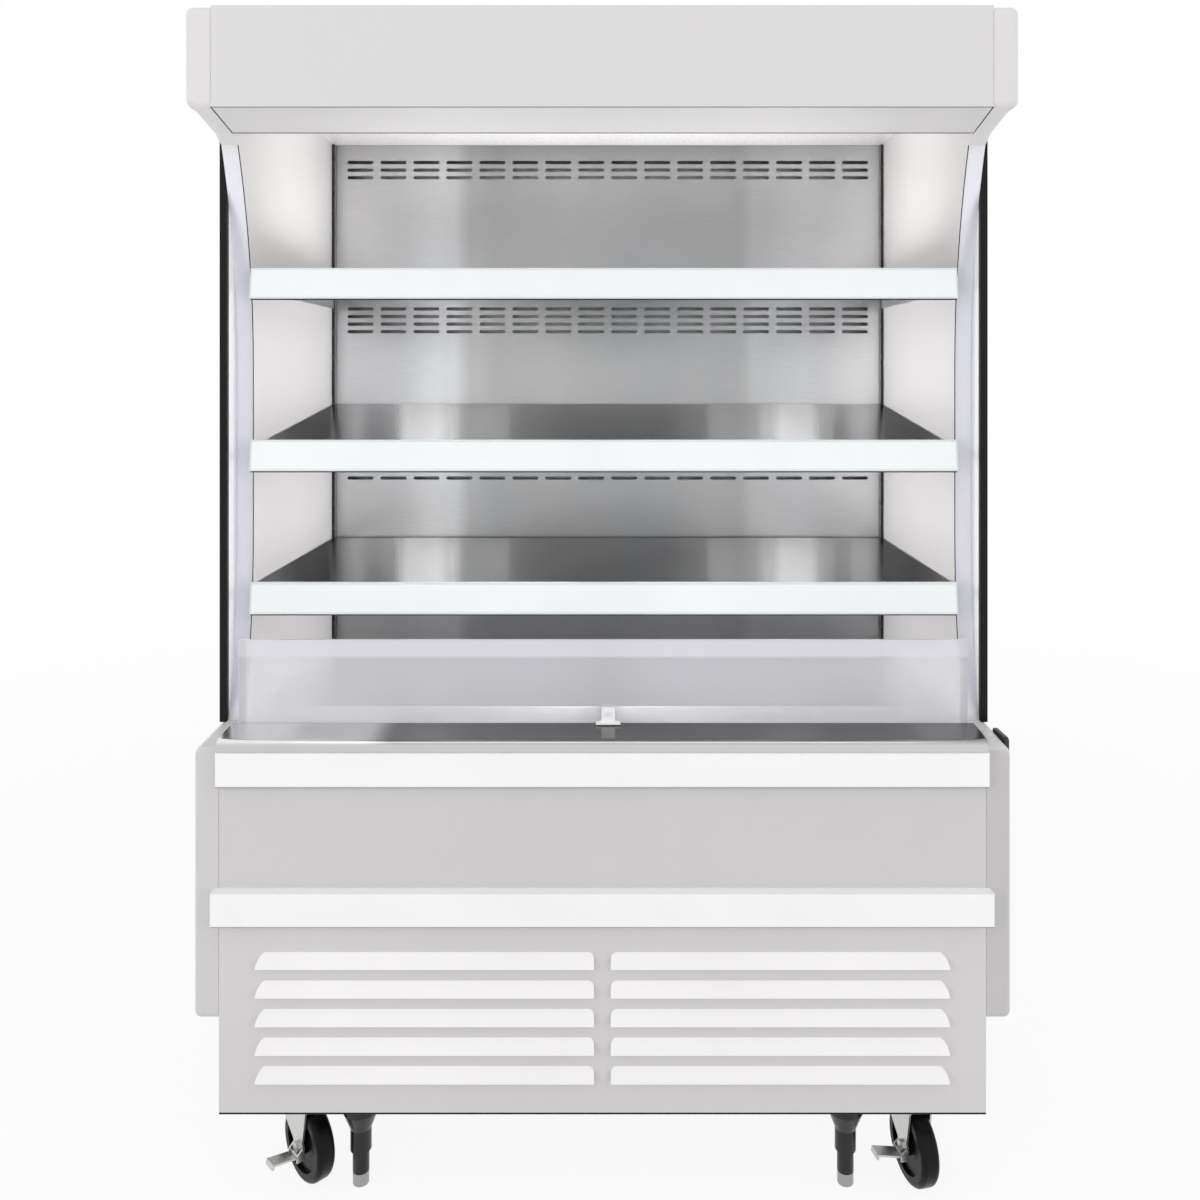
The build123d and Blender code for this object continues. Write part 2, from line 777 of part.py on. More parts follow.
def make_fans():
    """Two evaporator fans under the deck and one condenser fan, with plates and motors."""
    evaporator_hole = evaporator_fan_radius + fan_clearance
    condenser_hole = condenser_fan_radius + fan_clearance
    with BuildPart() as fan_plates:
        plate_z = (tub_inside, deck_height - shelf_turn_down - seam)
        block((-fit_x, fit_x), (fan_plate_y, fan_plate_y + sheet), plate_z)
        low_x = condenser_x - condenser_width / 2
        shroud_x = (low_x, low_x + condenser_width)
        block(shroud_x, (shroud_y, shroud_y + sheet), (base_top, tub_floor - seam))
        for x in (-fan_x, fan_x):
            with Locations((x, fan_plate_y, fan_height)):
                Cylinder(evaporator_hole, 6 * sheet, rotation=(90, 0, 0), mode=Mode.SUBTRACT)
        with Locations((condenser_x, shroud_y, condenser_z)):
            Cylinder(condenser_hole, 6 * sheet, rotation=(90, 0, 0), mode=Mode.SUBTRACT)
    save(fan_plates, "fan_plates")

    with BuildPart() as fan_motors:
        for x in (-fan_x, fan_x):
            motor(x, fan_plate_y + sheet, fan_height, evaporator_hole + motor_bar)
        motor(condenser_x, shroud_y + sheet, condenser_z, condenser_hole + motor_bar)
    save(fan_motors, "fan_motors")

    wheel_back = hub_standoff + hub_length
    for number, x in enumerate((-fan_x, fan_x), start=1):
        name = f"evaporator_fan_{number}"
        fan_wheel(name, x, fan_plate_y - wheel_back, fan_height, evaporator_fan_radius)
    fan_wheel("condenser_fan", condenser_x, shroud_y - wheel_back, condenser_z, condenser_fan_radius)


def make_coil(name, x, y, z):
    """Finned coil between the given sides, with return bends at both ends."""
    count = int((x[1] - x[0]) / fin_pitch)
    middle = ((x[0] + x[1]) / 2, (y[0] + y[1]) / 2, (z[0] + z[1]) / 2)
    rows = int((z[1] - z[0]) / tube_pitch)
    cut_height = z[1] - z[0] - 2 * tube_radius
    with BuildPart() as coil:
        block(x, y, z)
        for step in range(count - 1):
            cut_x = middle[0] + (step - (count - 2) / 2) * fin_pitch
            with Locations((cut_x, y[0], middle[2]), (cut_x, y[1], middle[2])):
                Box(fin_gap, 4 * tube_radius, cut_height, mode=Mode.SUBTRACT)
        for end in x:
            for row in range(rows):
                bend_z = middle[2] + (row - (rows - 1) / 2) * tube_pitch
                with Locations((end, middle[1], bend_z)):
                    Torus(2 * tube_radius, tube_radius, rotation=(90, 0, 0))
    save(coil, name)


def make_machinery():
    """Coils, compressor, pipes, condensate pan, control box and power inlet."""
    half_coil = inner_x - coil_end_gap
    coil_z = (tub_inside + seam, tub_inside + seam + coil_height)
    make_coil("evaporator_coil", (-half_coil, half_coil), (coil_y, coil_y + coil_depth), coil_z)
    low_x = condenser_x - condenser_width / 2
    make_coil(
        "condenser_coil",
        (low_x, low_x + condenser_width),
        (condenser_y, condenser_y + condenser_depth),
        (base_top + seam, base_top + seam + condenser_height),
    )

    shell_foot = base_top + mount_height
    shell_middle = shell_foot + compressor_height / 2
    with BuildPart() as compressor:
        with Locations((compressor_x, compressor_y, shell_middle)):
            Cylinder(compressor_radius, compressor_height)
        fillet(compressor.edges().filter_by(GeomType.CIRCLE), compressor_round)
        foot_half = (compressor_radius + foot_overhang, compressor_radius - foot_inset)
        foot_x = (compressor_x - foot_half[0], compressor_x + foot_half[0])
        foot_y = (compressor_y - foot_half[1], compressor_y + foot_half[1])
        block(foot_x, foot_y, (shell_foot, shell_foot + base_plate))
        with Locations((compressor_x, compressor_y, base_top + mount_height / 2)):
            with GridLocations(*mount_spread, 2, 2):
                Cylinder(mount_radius, mount_height)
        side = compressor_x + compressor_radius - base_plate
        terminal_y = (compressor_y - terminal_width / 2, compressor_y + terminal_width / 2)
        block((side, side + base_plate + terminal_depth), terminal_y, (shell_middle, shell_middle + terminal_height))
    save(compressor, "compressor")

    pipe_top = tub_floor - line_drop
    shell_top = shell_foot + compressor_height
    coil_end = low_x + condenser_width
    coil_middle = condenser_y + condenser_depth / 2
    with BuildPart() as refrigerant_lines:
        with BuildLine():
            FilletPolyline(
                (compressor_x, compressor_y, shell_top),
                (compressor_x, compressor_y, pipe_top),
                (coil_end + line_gap, compressor_y, pipe_top),
                (coil_end + line_gap, coil_middle, pipe_top),
                (coil_end, coil_middle, pipe_top),
                radius=line_bend,
            )
        with BuildSketch(Plane.XY.offset(shell_top)):
            with Locations((compressor_x, compressor_y)):
                Circle(line_radius)
        sweep()
        suction_height = tub_floor - shell_top
        with Locations((compressor_x, compressor_y + line_spacing, shell_top + suction_height / 2)):
            Cylinder(line_radius, suction_height)
    save(refrigerant_lines, "refrigerant_lines")

    with BuildPart() as condensate_pan:
        pan_x = (inner_x - pan_end_gap - pan_size[0], inner_x - pan_end_gap)
        pan_y = (back - pan_back_gap - pan_size[1], back - pan_back_gap)
        block(pan_x, pan_y, (base_top, base_top + pan_size[2]))
        inner_pan_x = (pan_x[0] + pan_wall, pan_x[1] - pan_wall)
        inner_pan_y = (pan_y[0] + pan_wall, pan_y[1] - pan_wall)
        block(inner_pan_x, inner_pan_y, (base_top + pan_wall, base_top + pan_size[2]), Mode.SUBTRACT)
    save(condensate_pan, "condensate_pan")

    box_x = (inner_x - box_end_gap - box_size[0], inner_x - box_end_gap)
    box_y = (panel_y + box_setback, panel_y + box_setback + box_size[1])
    box_foot = base_top + box_lift
    with BuildPart() as control_box:
        block(box_x, box_y, (box_foot, box_foot + box_size[2]))
        fillet(control_box.edges().filter_by(Axis.Y), box_round)
        post_y = (box_y[0] + box_size[1] / 2, box_y[0] + box_size[1] / 2 + base_plate)
        for low in (box_x[0], box_x[1] - base_rail):
            block((low, low + base_rail), post_y, (base_top, box_foot))
    save(control_box, "control_box")

    outside = back - cover_inset
    with BuildPart() as power_inlet:
        with Locations((inlet_place[0], outside - inlet_length / 2, inlet_place[1])):
            Box(inlet_size, inlet_length, inlet_size)
        with Locations((inlet_place[0], outside + base_plate / 2, inlet_place[1])):
            Box(inlet_flange, base_plate, inlet_flange)
        with Locations((inlet_place[0], outside + base_plate, inlet_place[1])):
            Cylinder(inlet_bore, 3 * inlet_length, rotation=(90, 0, 0), mode=Mode.SUBTRACT)
    save(power_inlet, "power_inlet")


caster_places = tuple(
    (side * caster_x, y) for y in (caster_front_y, caster_back_y) for side in (-1, 1)
)


def directions(place):
    """The ways in which a caster's wheel trails and its axle points."""
    yaw = radians(caster_yaws[0] if place[0] < 0 else caster_yaws[1])
    return Vector(cos(yaw), sin(yaw), 0), Vector(sin(yaw), -cos(yaw), 0)


def side_plane(place, shift):
    """Upright plane along a wheel, moved along its axle; its x runs with the trail."""
    trail_dir, axle_dir = directions(place)
    return Plane(origin=(place[0], place[1], 0), x_dir=trail_dir, z_dir=axle_dir).offset(shift)


def make_caster_plates():
    """Four bolted top plates, each with the fixed half of its swivel race."""
    with BuildPart() as caster_plates:
        for place in caster_places:
            with Locations((place[0], place[1], ground_clearance - plate_size[2] / 2)):
                Box(*plate_size)
            race_height = ground_clearance - plate_size[2] - race_split
            with Locations((place[0], place[1], race_split + race_height / 2)):
                Cylinder(race_radius, race_height)
            with Locations((place[0], place[1], race_split + race_height / 2)):
                Cylinder(pin_radius + running_gap, race_height, mode=Mode.SUBTRACT)
    save(caster_plates, "caster_plates")


def make_caster(number, place, braked):
    """Swivelling fork with its pin and axle, and the wheel that runs in it."""
    trail_dir, axle_dir = directions(place)
    cheek = wheel_width / 2 + fork_gap
    crown_top = fork_crown + fork_sheet + 1
    flat = Plane(origin=(place[0], place[1], 0), x_dir=trail_dir, z_dir=(0, 0, 1))
    nut_far = cheek + fork_sheet + axle_radius
    with BuildPart() as fork:
        for shift in (cheek, -cheek - fork_sheet):
            with BuildSketch(side_plane(place, shift)):
                with BuildLine():
                    Polyline(
                        (-race_radius - fork_brow, crown_top),
                        (caster_trail + race_radius, crown_top),
                        (caster_trail + race_radius - axle_radius, fork_knee),
                        (caster_trail + 2 * axle_radius, wheel_radius),
                        (caster_trail - 2 * axle_radius, wheel_radius),
                        (-race_radius - axle_radius, fork_knee),
                        close=True,
                    )
                make_face()
                with Locations((caster_trail, wheel_radius)):
                    Circle(3 * axle_radius)
            extrude(amount=fork_sheet)
        with BuildSketch(flat.offset(fork_crown)):
            with Locations(((caster_trail - fork_brow) / 2, 0)):
                Rectangle(caster_trail + fork_brow + 2 * race_radius, 2 * (cheek + fork_sheet))
            Circle(race_radius)
        extrude(amount=crown_top - fork_crown)
        with BuildSketch(flat.offset(crown_top)):
            Circle(race_radius)
        extrude(amount=race_split - body_gap - crown_top)
        with BuildSketch(flat.offset(race_split - body_gap)):
            Circle(pin_radius)
        extrude(amount=ground_clearance - plate_size[2] - race_split)
        with BuildSketch(side_plane(place, -nut_far)):
            with Locations((caster_trail, wheel_radius)):
                Circle(axle_radius)
        extrude(amount=2 * nut_far)
        for shift in (-nut_far, cheek + fork_sheet):
            with BuildSketch(side_plane(place, shift)):
                with Locations((caster_trail, wheel_radius)):
                    RegularPolygon(1.6 * axle_radius, 6)
            extrude(amount=axle_radius)
        if braked:
            ear_z = pedal_height - axle_radius
            for ear_x in (-pedal_width / 2 - fork_sheet - body_gap, pedal_width / 2 + body_gap):
                ear = Plane(
                    origin=Vector(place[0], place[1], 0) + trail_dir * (caster_trail + ear_x),
                    x_dir=axle_dir,
                    z_dir=trail_dir * -1,
                )
                section = outline(
                    (
                        (cheek, ear_z - axle_radius),
                        (cheek + fork_sheet + ear_reach, ear_z - axle_radius),
                        (cheek + fork_sheet + ear_reach, ear_z + axle_radius),
                        (cheek, ear_z + 3 * axle_radius),
                    ),
                    ear if ear.y_dir.Z > 0 else Plane(origin=ear.origin, x_dir=axle_dir, z_dir=trail_dir),
                )
                extrude(section, amount=fork_sheet, dir=trail_dir)
            pin_plane = side_plane(place, cheek + fork_sheet + ear_reach - axle_radius)
            pin_start = pin_plane.origin + trail_dir * (caster_trail - pedal_width / 2 - body_gap)
            with BuildSketch(Plane(origin=pin_start, x_dir=axle_dir * -1, z_dir=trail_dir)):
                with Locations((0, ear_z)):
                    Circle(brake_pin)
            extrude(amount=pedal_width + 2 * body_gap)
    save(fork, f"caster_fork_{number}")

    with BuildPart() as wheel:
        with BuildSketch(side_plane(place, -wheel_width / 2)):
            with Locations((caster_trail, wheel_radius)):
                Circle(wheel_radius)
        extrude(amount=wheel_width)
        fillet(wheel.edges().filter_by(GeomType.CIRCLE), wheel_round)
        for shift in (-wheel_width / 2, wheel_width / 2 - hub_recess):
            with BuildSketch(side_plane(place, shift)):
                with Locations((caster_trail, wheel_radius)):
                    Circle(wheel_radius - 2 * wheel_round)
                    Circle(3 * axle_radius, mode=Mode.SUBTRACT)
            extrude(amount=hub_recess, mode=Mode.SUBTRACT)
        with BuildSketch(side_plane(place, -wheel_width / 2)):
            with Locations((caster_trail, wheel_radius)):
                Circle(axle_radius + running_gap)
        extrude(amount=wheel_width, mode=Mode.SUBTRACT)
    save(wheel, f"caster_wheel_{number}")


def make_brake(number, place):
    """Foot pedal beside a front wheel, on a pin between the ears of its fork."""
    trail_dir, axle_dir = directions(place)
    pivot_out = wheel_width / 2 + fork_gap + fork_sheet + ear_reach - axle_radius
    pivot_z = pedal_height - axle_radius
    origin = Vector(place[0], place[1], 0) + trail_dir * (caster_trail - pedal_width / 2)
    section_plane = Plane(origin=origin, x_dir=axle_dir * -1, z_dir=trail_dir)
    with BuildPart() as pedal:
        with BuildSketch(section_plane):
            with Locations((-pivot_out, pivot_z)):
                Circle(knuckle_radius)
            with Locations(Location((-pivot_out, pivot_z, 0), (0, 0, -pedal_tilt))):
                with Locations((-pedal_reach / 2, 0)):
                    Rectangle(pedal_reach, fork_sheet)
                with Locations((-pedal_reach, -axle_radius / 2)):
                    Rectangle(fork_sheet, axle_radius + fork_sheet)
            with Locations((-pivot_out, pivot_z)):
                Circle(brake_pin + running_gap, mode=Mode.SUBTRACT)
        extrude(amount=pedal_width)
    save(pedal, f"caster_brake_{number}")


def make_legs():
    """Levelling legs beside the front casters: fixed bodies and screw-out feet."""
    with BuildPart() as leg_bodies:
        with BuildSketch(Plane.XZ) as section:
            with BuildLine():
                Polyline(
                    (stud_radius + running_gap, ground_clearance - base_plate),
                    (stud_radius + running_gap, sleeve_foot),
                    (sleeve_radius, sleeve_foot),
                    (sleeve_radius, barrel_foot),
                    (barrel_radius, barrel_foot),
                    (barrel_radius, bell_foot),
                    (bell_radius, bell_foot + bell_radius),
                    (bell_radius + base_plate, ground_clearance),
                    (0, ground_clearance),
                    (0, ground_clearance - base_plate),
                    close=True,
                )
            make_face()
        leg = revolve(axis=Axis.Z, mode=Mode.PRIVATE)
        for x in (-leg_x, leg_x):
            add(leg.moved(Location((x, leg_y, 0))))
    save(leg_bodies, "leg_bodies")

    for number, x in enumerate((-leg_x, leg_x), start=1):
        top = sleeve_foot - body_gap
        stud_top = ground_clearance - stud_gap
        with BuildPart() as leg_foot:
            with Locations((x, leg_y, (foot_clear + top) / 2)):
                Cylinder(foot_radius, top - foot_clear)
            fillet(leg_foot.edges().filter_by(GeomType.CIRCLE), foot_edge)
            with Locations((x, leg_y, (top + stud_top) / 2)):
                Cylinder(stud_radius, stud_top - top)
        save(leg_foot, f"leg_foot_{number}")


def make_switch():
    """Lamp switch housing on the right end panel, with its rocker."""
    outer = width / 2
    with BuildPart() as switch_housing:
        block(
            (outer, outer + switch_size[0]),
            (switch_y - switch_size[1] / 2, switch_y + switch_size[1] / 2),
            (switch_z - switch_size[2] / 2, switch_z + switch_size[2] / 2),
        )
        fillet(switch_housing.edges().filter_by(Axis.X), switch_corner)
        fillet(switch_housing.faces().sort_by(Axis.X)[-1].edges(), switch_edge)
        pocket = (outer + switch_size[0] - rocker_size[0], outer + switch_size[0])
        block(
            pocket,
            (switch_y - rocker_size[1] / 2 - seam, switch_y + rocker_size[1] / 2 + seam),
            (switch_z - rocker_size[2] / 2 - seam, switch_z + rocker_size[2] / 2 + seam),
            Mode.SUBTRACT,
        )
        pin_reach = rocker_size[2] + 2 * (seam + rocker_pin_length)
        with Locations((pocket[1] - rocker_proud, switch_y, switch_z)):
            Cylinder(rocker_pin + running_gap, pin_reach + 2 * body_gap, mode=Mode.SUBTRACT)
    save(switch_housing, "switch_housing")

    floor = pocket[0] + body_gap
    top = pocket[1] + rocker_proud
    half = rocker_size[1] / 2
    lean = radians(rocker_tilt)
    pivot = (pocket[1] - rocker_proud, switch_y, switch_z - rocker_size[2] / 2)
    with BuildPart() as switch_rocker:
        section = outline(
            (
                (floor - pivot[0], 0),
                (top - rocker_proud - pivot[0], -half),
                (top - pivot[0], -half),
                (top - rocker_proud / 2 - pivot[0], 0),
                (top - pivot[0], half),
                (top - rocker_proud - pivot[0], half),
            ),
            Plane(origin=pivot, x_dir=(cos(lean), -sin(lean), 0), z_dir=(0, 0, 1)),
        )
        extrude(section, amount=rocker_size[2])
        with Locations((pivot[0], switch_y, switch_z)):
            Cylinder(rocker_pin, pin_reach)
    save(switch_rocker, "switch_rocker")


os.makedirs("parts", exist_ok=True)
make_end_panel("end_panel_left", -1)
make_end_panel("end_panel_right", 1)
make_end_glass()
make_edge_trims()
make_shell()
make_canopy_inside()
make_back_panel()
make_uprights()
make_shelves()
make_brackets()
make_deck()
make_guard()
make_front()
make_louvre_panel()
make_base()
make_fans()
make_machinery()
make_caster_plates()
for caster_number, caster_place in enumerate(caster_places, start=1):
    is_front = caster_place[1] == caster_front_y
    make_caster(caster_number, caster_place, is_front)
    if is_front:
        make_brake(caster_number, caster_place)
make_legs()
make_switch()
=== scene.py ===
import json
import math

import bmesh
import bpy
from mathutils import Matrix, Vector


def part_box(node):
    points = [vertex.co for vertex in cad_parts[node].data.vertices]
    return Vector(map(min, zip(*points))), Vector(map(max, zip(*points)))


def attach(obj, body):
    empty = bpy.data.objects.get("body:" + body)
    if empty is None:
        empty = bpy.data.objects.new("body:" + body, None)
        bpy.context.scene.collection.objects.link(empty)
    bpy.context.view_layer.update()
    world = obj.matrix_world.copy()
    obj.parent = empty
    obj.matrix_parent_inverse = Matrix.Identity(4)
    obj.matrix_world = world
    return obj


# Open multideck display fridge: finishes, small details, light and camera over the CAD frame.
# Everything is in metres: +X to the shopper's right, +Y to the back, +Z up.

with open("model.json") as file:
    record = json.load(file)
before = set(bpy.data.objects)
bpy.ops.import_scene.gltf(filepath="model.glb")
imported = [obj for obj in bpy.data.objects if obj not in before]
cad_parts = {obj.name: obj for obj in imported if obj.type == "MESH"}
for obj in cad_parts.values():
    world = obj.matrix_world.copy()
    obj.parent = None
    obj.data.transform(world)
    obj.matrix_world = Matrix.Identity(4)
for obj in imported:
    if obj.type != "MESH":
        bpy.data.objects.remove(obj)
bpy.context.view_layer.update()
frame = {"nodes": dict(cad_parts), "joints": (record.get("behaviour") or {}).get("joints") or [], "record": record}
nodes = frame["nodes"]

# ---------------------------------------------------------------- sizes

RAIL_NUMBERS = (1, 2, 3)
RAIL_THICKNESS = 0.005
LIP_RADIUS = 0.0016
END_CAP = 0.0015  # thickness of the cap at each end of a price rail
CAP_EDGE = 0.0004
CLIP_X = 0.008
CLIP_GAP = 0.0003  # between the clip and the guard
CLIP_EDGE = 0.0008
CLIP_LAYERS = (  # half width, depth in front of the guard, height over the rail
    (0.0190, 0.0115, 0.0),
    (0.0190, 0.0115, 0.0030),
    (0.0105, 0.0060, 0.0045),
    (0.0105, 0.0045, 0.0250),
)
CLIP_SCREW = (0.0048, 0.0160)  # in front of the guard and over the rail
# thin dark lines: seals at seams, and painted shade along the feet of the price rails, the bumpers and the louvre
# panel
SEAM_AND_SHADE_LINE_RADIUS = 0.0008
RAIL_SHADE_LINE_RADIUS = 0.0013
RAIL_SHADE_LINE_INSET = 0.0012  # from the front of a price rail
BUMPER_SHADE_LINE_INSET = 0.0035
LINER_X = 0.5715  # half the width between the liners
CURVE_Y, CURVE_Z = (-0.27, -0.19), (0.704, 1.615)  # where the curved front edge of a liner lies
SAME_PLACE = 0.0001  # how near a point has to be to count as in a liner's plane
PANEL_SETBACK = 0.032  # of the lower front, behind the front of the end panels
BASE_SHADE_LINE = (0.0001, 0.0030)  # its front and back, behind the lower front
BASE_SHADE_LINE_HEIGHT = 0.0030
BASE_SHADE_LINE_EDGE = 0.0003
BOLT_FLATS = 0.013
BOLT_HEIGHT = 0.0053
BOLT_WASHER = 0.0004
BOLT_CHAMFER = 0.0008
BOLT_TURN = 0.4  # from one bolt of a caster to the next
PLATE_BOLTS = (0.042, 0.032)  # half the spacing of the bolts in a caster plate
PLATE_CORNERS = ((-1, -1), (1, -1), (-1, 1), (1, 1))
PLATE_THICKNESS = 0.004
CASTER_NUMBERS = (1, 2, 3, 4)
SCREW_RADIUS = 0.0042
SCREW_HEIGHT = 0.0022
SCREW_RIM = 0.0008
SCREW_SHOULDER = 0.0018
COVER_SCREW_INSET = 0.022
COVER_SCREW_COLUMNS = 5

# ---------------------------------------------------------------- finishes

ALONG_X = (0.02, 1, 1)  # noise drawn out into lines
ALONG_Z = (1, 1, 0.02)
# the painted reflection streaks in the shelves fan out from this point, where the camera stands
FAN_X, FAN_Y = 0.0276, 1.894  # the streaks in the shelves spread out from a point in front of them
EDGE_BAND = ((0.29, 0.0), (0.71, 0.0), (0.72, 1.0), (1.6, 1.0), (1.62, 0.0), (1.8, 0.0))  # (height, share)


def shade(colour, factor):
    """The colour made lighter or darker, with full opacity."""
    return tuple(min(1.0, channel * factor) for channel in colour) + (1.0,)


class Finish:
    """One procedural material, built on a Principled shader in object space."""

    def __init__(self, name, roughness, metallic=0.0, ior=1.5, coat=0.0):
        self.material = bpy.data.materials.new(name)
        self.material.use_nodes = True
        self.tree = self.material.node_tree
        self.shader = self.tree.nodes["Principled BSDF"]
        self.roughness = roughness
        self.set("Roughness", roughness)
        self.set("Metallic", metallic)
        self.set("IOR", ior)
        self.set("Coat Weight", coat)
        self.coords = self.node("ShaderNodeTexCoord")

    def node(self, kind, **values):
        made = self.tree.nodes.new(kind)
        for key, value in values.items():
            setattr(made, key, value)
        return made

    def link(self, source, target):
        self.tree.links.new(source, target)

    def set(self, socket, value):
        self.shader.inputs[socket].default_value = value

    def noise(self, scale, detail, stretch):
        """Noise in object space, drawn out along the axes with a small stretch factor."""
        mapping = self.node("ShaderNodeMapping")
        mapping.inputs["Scale"].default_value = stretch
        self.link(self.coords.outputs["Object"], mapping.inputs["Vector"])
        texture = self.node("ShaderNodeTexNoise")
        texture.inputs["Scale"].default_value = scale
        texture.inputs["Detail"].default_value = detail
        self.link(mapping.outputs["Vector"], texture.inputs["Vector"])
        return texture.outputs["Fac"]

    def spread(self, source, low, high, source_low=0.3, source_high=0.7):
        """The source's middle range turned into low..high."""
        ramp = self.node("ShaderNodeMapRange")
        ramp.inputs["From Min"].default_value = source_low
        ramp.inputs["From Max"].default_value = source_high
        ramp.inputs["To Min"].default_value = low
        ramp.inputs["To Max"].default_value = high
        self.link(source, ramp.inputs["Value"])
        return ramp.outputs["Result"]

    def mix(self, factor, first, second, mode="MIX"):
        """A colour between two colours or colour sockets."""
        mixer = self.node("ShaderNodeMix", data_type="RGBA", blend_type=mode)
        colour_inputs = [socket for socket in mixer.inputs if socket.type == "RGBA"]
        if isinstance(factor, float):
            mixer.inputs[0].default_value = factor
        else:
            self.link(factor, mixer.inputs[0])
        for socket, value in zip(colour_inputs, (first, second)):
            if isinstance(value, tuple):
                socket.default_value = value
            else:
                self.link(value, socket)
        return [socket for socket in mixer.outputs if socket.type == "RGBA"][0]

    def tone(self, colour, scale, amount, stretch=(1, 1, 1), detail=3.0):
        """Uneven colour: the colour made a little darker and lighter by noise."""
        factor = self.spread(self.noise(scale, detail, stretch), 0.0, 1.0)
        return self.mix(factor, shade(colour, 1 - amount), shade(colour, 1 + amount))

    def colour(self, source):
        self.link(source, self.shader.inputs["Base Color"])

    def relief(self, height, strength, depth):
        """A bump that follows the height socket."""
        bump = self.node("ShaderNodeBump")
        bump.inputs["Strength"].default_value = strength
        bump.inputs["Distance"].default_value = depth
        self.link(height, bump.inputs["Height"])
        self.link(bump.outputs["Normal"], self.shader.inputs["Normal"])

    def grain(self, scale, strength, polish, depth, stretch=(1, 1, 1)):
        """A fine bump, which also varies the gloss by polish."""
        height = self.noise(scale, 2.0, stretch)
        self.relief(height, strength, depth)
        gloss = self.spread(height, self.roughness - polish, self.roughness + polish)
        self.link(gloss, self.shader.inputs["Roughness"])

    def split(self, output):
        """The X, Y and Z of the surface's place or normal, in object space."""
        parts = self.node("ShaderNodeSeparateXYZ")
        self.link(self.coords.outputs[output], parts.inputs["Vector"])
        return parts.outputs

    def facing(self, axis, low, high):
        """0 to 1 as the surface, in object space, turns from low to high towards the axis."""
        return self.spread(self.split("Normal")[axis], 0.0, 1.0, low, high)

    def arithmetic(self, operation, first, second=0.0):
        """Arithmetic on a socket and a number or another socket."""
        node = self.node("ShaderNodeMath", operation=operation)
        self.link(first, node.inputs[0])
        if isinstance(second, float):
            node.inputs[1].default_value = second
        else:
            self.link(second, node.inputs[1])
        return node.outputs[0]

    def place(self, axis):
        """A coordinate of the row frame; FAN runs across and spreads out to the back."""
        parts = self.split("Object")
        if axis != "FAN":
            return parts[axis]
        across = self.arithmetic("SUBTRACT", parts["X"], FAN_X)
        return self.arithmetic("DIVIDE", across, self.arithmetic("ADD", parts["Y"], FAN_Y))

    def profile(self, axis, stops):
        """A grey that follows (place, value) stops along an axis of the row frame."""
        low, high = stops[0][0], stops[-1][0]
        ramp = self.node("ShaderNodeValToRGB")
        ramp.color_ramp.interpolation = "EASE"
        elements = ramp.color_ramp.elements
        while len(elements) < len(stops):
            elements.new(0.5)
        for element, (place, value) in zip(elements, stops):
            element.position = (place - low) / (high - low)
            element.color = (value, value, value, 1.0)
        self.link(self.spread(self.place(axis), 0.0, 1.0, low, high), ramp.inputs["Fac"])
        return ramp.outputs["Color"]


def paint_film(name, roughness=0.36):
    """Smooth baked paint with a faint orange peel, before it gets its colour."""
    finish = Finish(name, roughness=roughness)
    finish.grain(scale=420, strength=0.05, polish=0.05, depth=0.0003)
    return finish


def painted(name, colour, roughness=0.36):
    """Plain painted sheet."""
    finish = paint_film(name, roughness)
    finish.colour(finish.tone(colour, scale=2.2, amount=0.018))
    return finish


def panel_paint(name, colour, edge_colour, bands):
    """Paint of an end panel, whose curved front edge is a cooler white behind the glass, with painted shade on its
    front faces below the tub's top.
    """
    finish = paint_film(name)
    plain = finish.tone(colour, scale=2.2, amount=0.018)
    # painted shade: the bands darken the front faces low down
    shaded = finish.mix(1.0, plain, finish.profile("Z", bands), "MULTIPLY")
    front_shaded_paint = finish.mix(finish.facing("Y", -0.5, -0.9), plain, shaded)
    edge = finish.arithmetic("MULTIPLY", finish.facing("Y", -0.8, -0.95), finish.profile("Z", EDGE_BAND))
    finish.colour(finish.mix(edge, front_shaded_paint, finish.tone(edge_colour, scale=2.2, amount=0.02)))
    return finish


def louvre_paint(name, colour, lit_hood_colour):
    """The same paint, with painted light on the pressed hoods, which face upward, so they are lighter."""
    finish = paint_film(name)
    flat = finish.tone(colour, scale=2.2, amount=0.018)
    hood = finish.tone(lit_hood_colour, scale=5.0, amount=0.02)
    # painted light: faces turned upward take the lighter hood colour
    finish.colour(finish.mix(finish.facing("Z", 0.12, 0.3), flat, hood))
    return finish


def brushed(name, colour, roughness, bands, painted_light_profiles=(), band_stretch=(1, 1, 0.12)):
    """Brushed stainless sheet: fine lines along X and soft bands of tone, with any painted reflection and painted
    shade along an axis multiplied in.
    """
    finish = Finish(name, roughness=roughness, metallic=1.0)
    broad = finish.tone(colour, scale=3.4, amount=bands, stretch=band_stretch, detail=2.0)
    lines = finish.spread(finish.noise(900, 2.0, ALONG_X), 0.0, 1.0)
    worn = finish.mix(lines, shade((1, 1, 1), 0.9), shade((1, 1, 1), 1.0))
    tone = finish.mix(1.0, broad, worn, "MULTIPLY")
    # painted reflection and painted shade: each ramp darkens or lightens the steel along its axis
    for axis, stops in painted_light_profiles:
        tone = finish.mix(1.0, tone, finish.profile(axis, stops), "MULTIPLY")
    finish.colour(tone)
    finish.grain(scale=900, strength=0.12, polish=0.06, depth=0.0002, stretch=ALONG_X)
    return finish


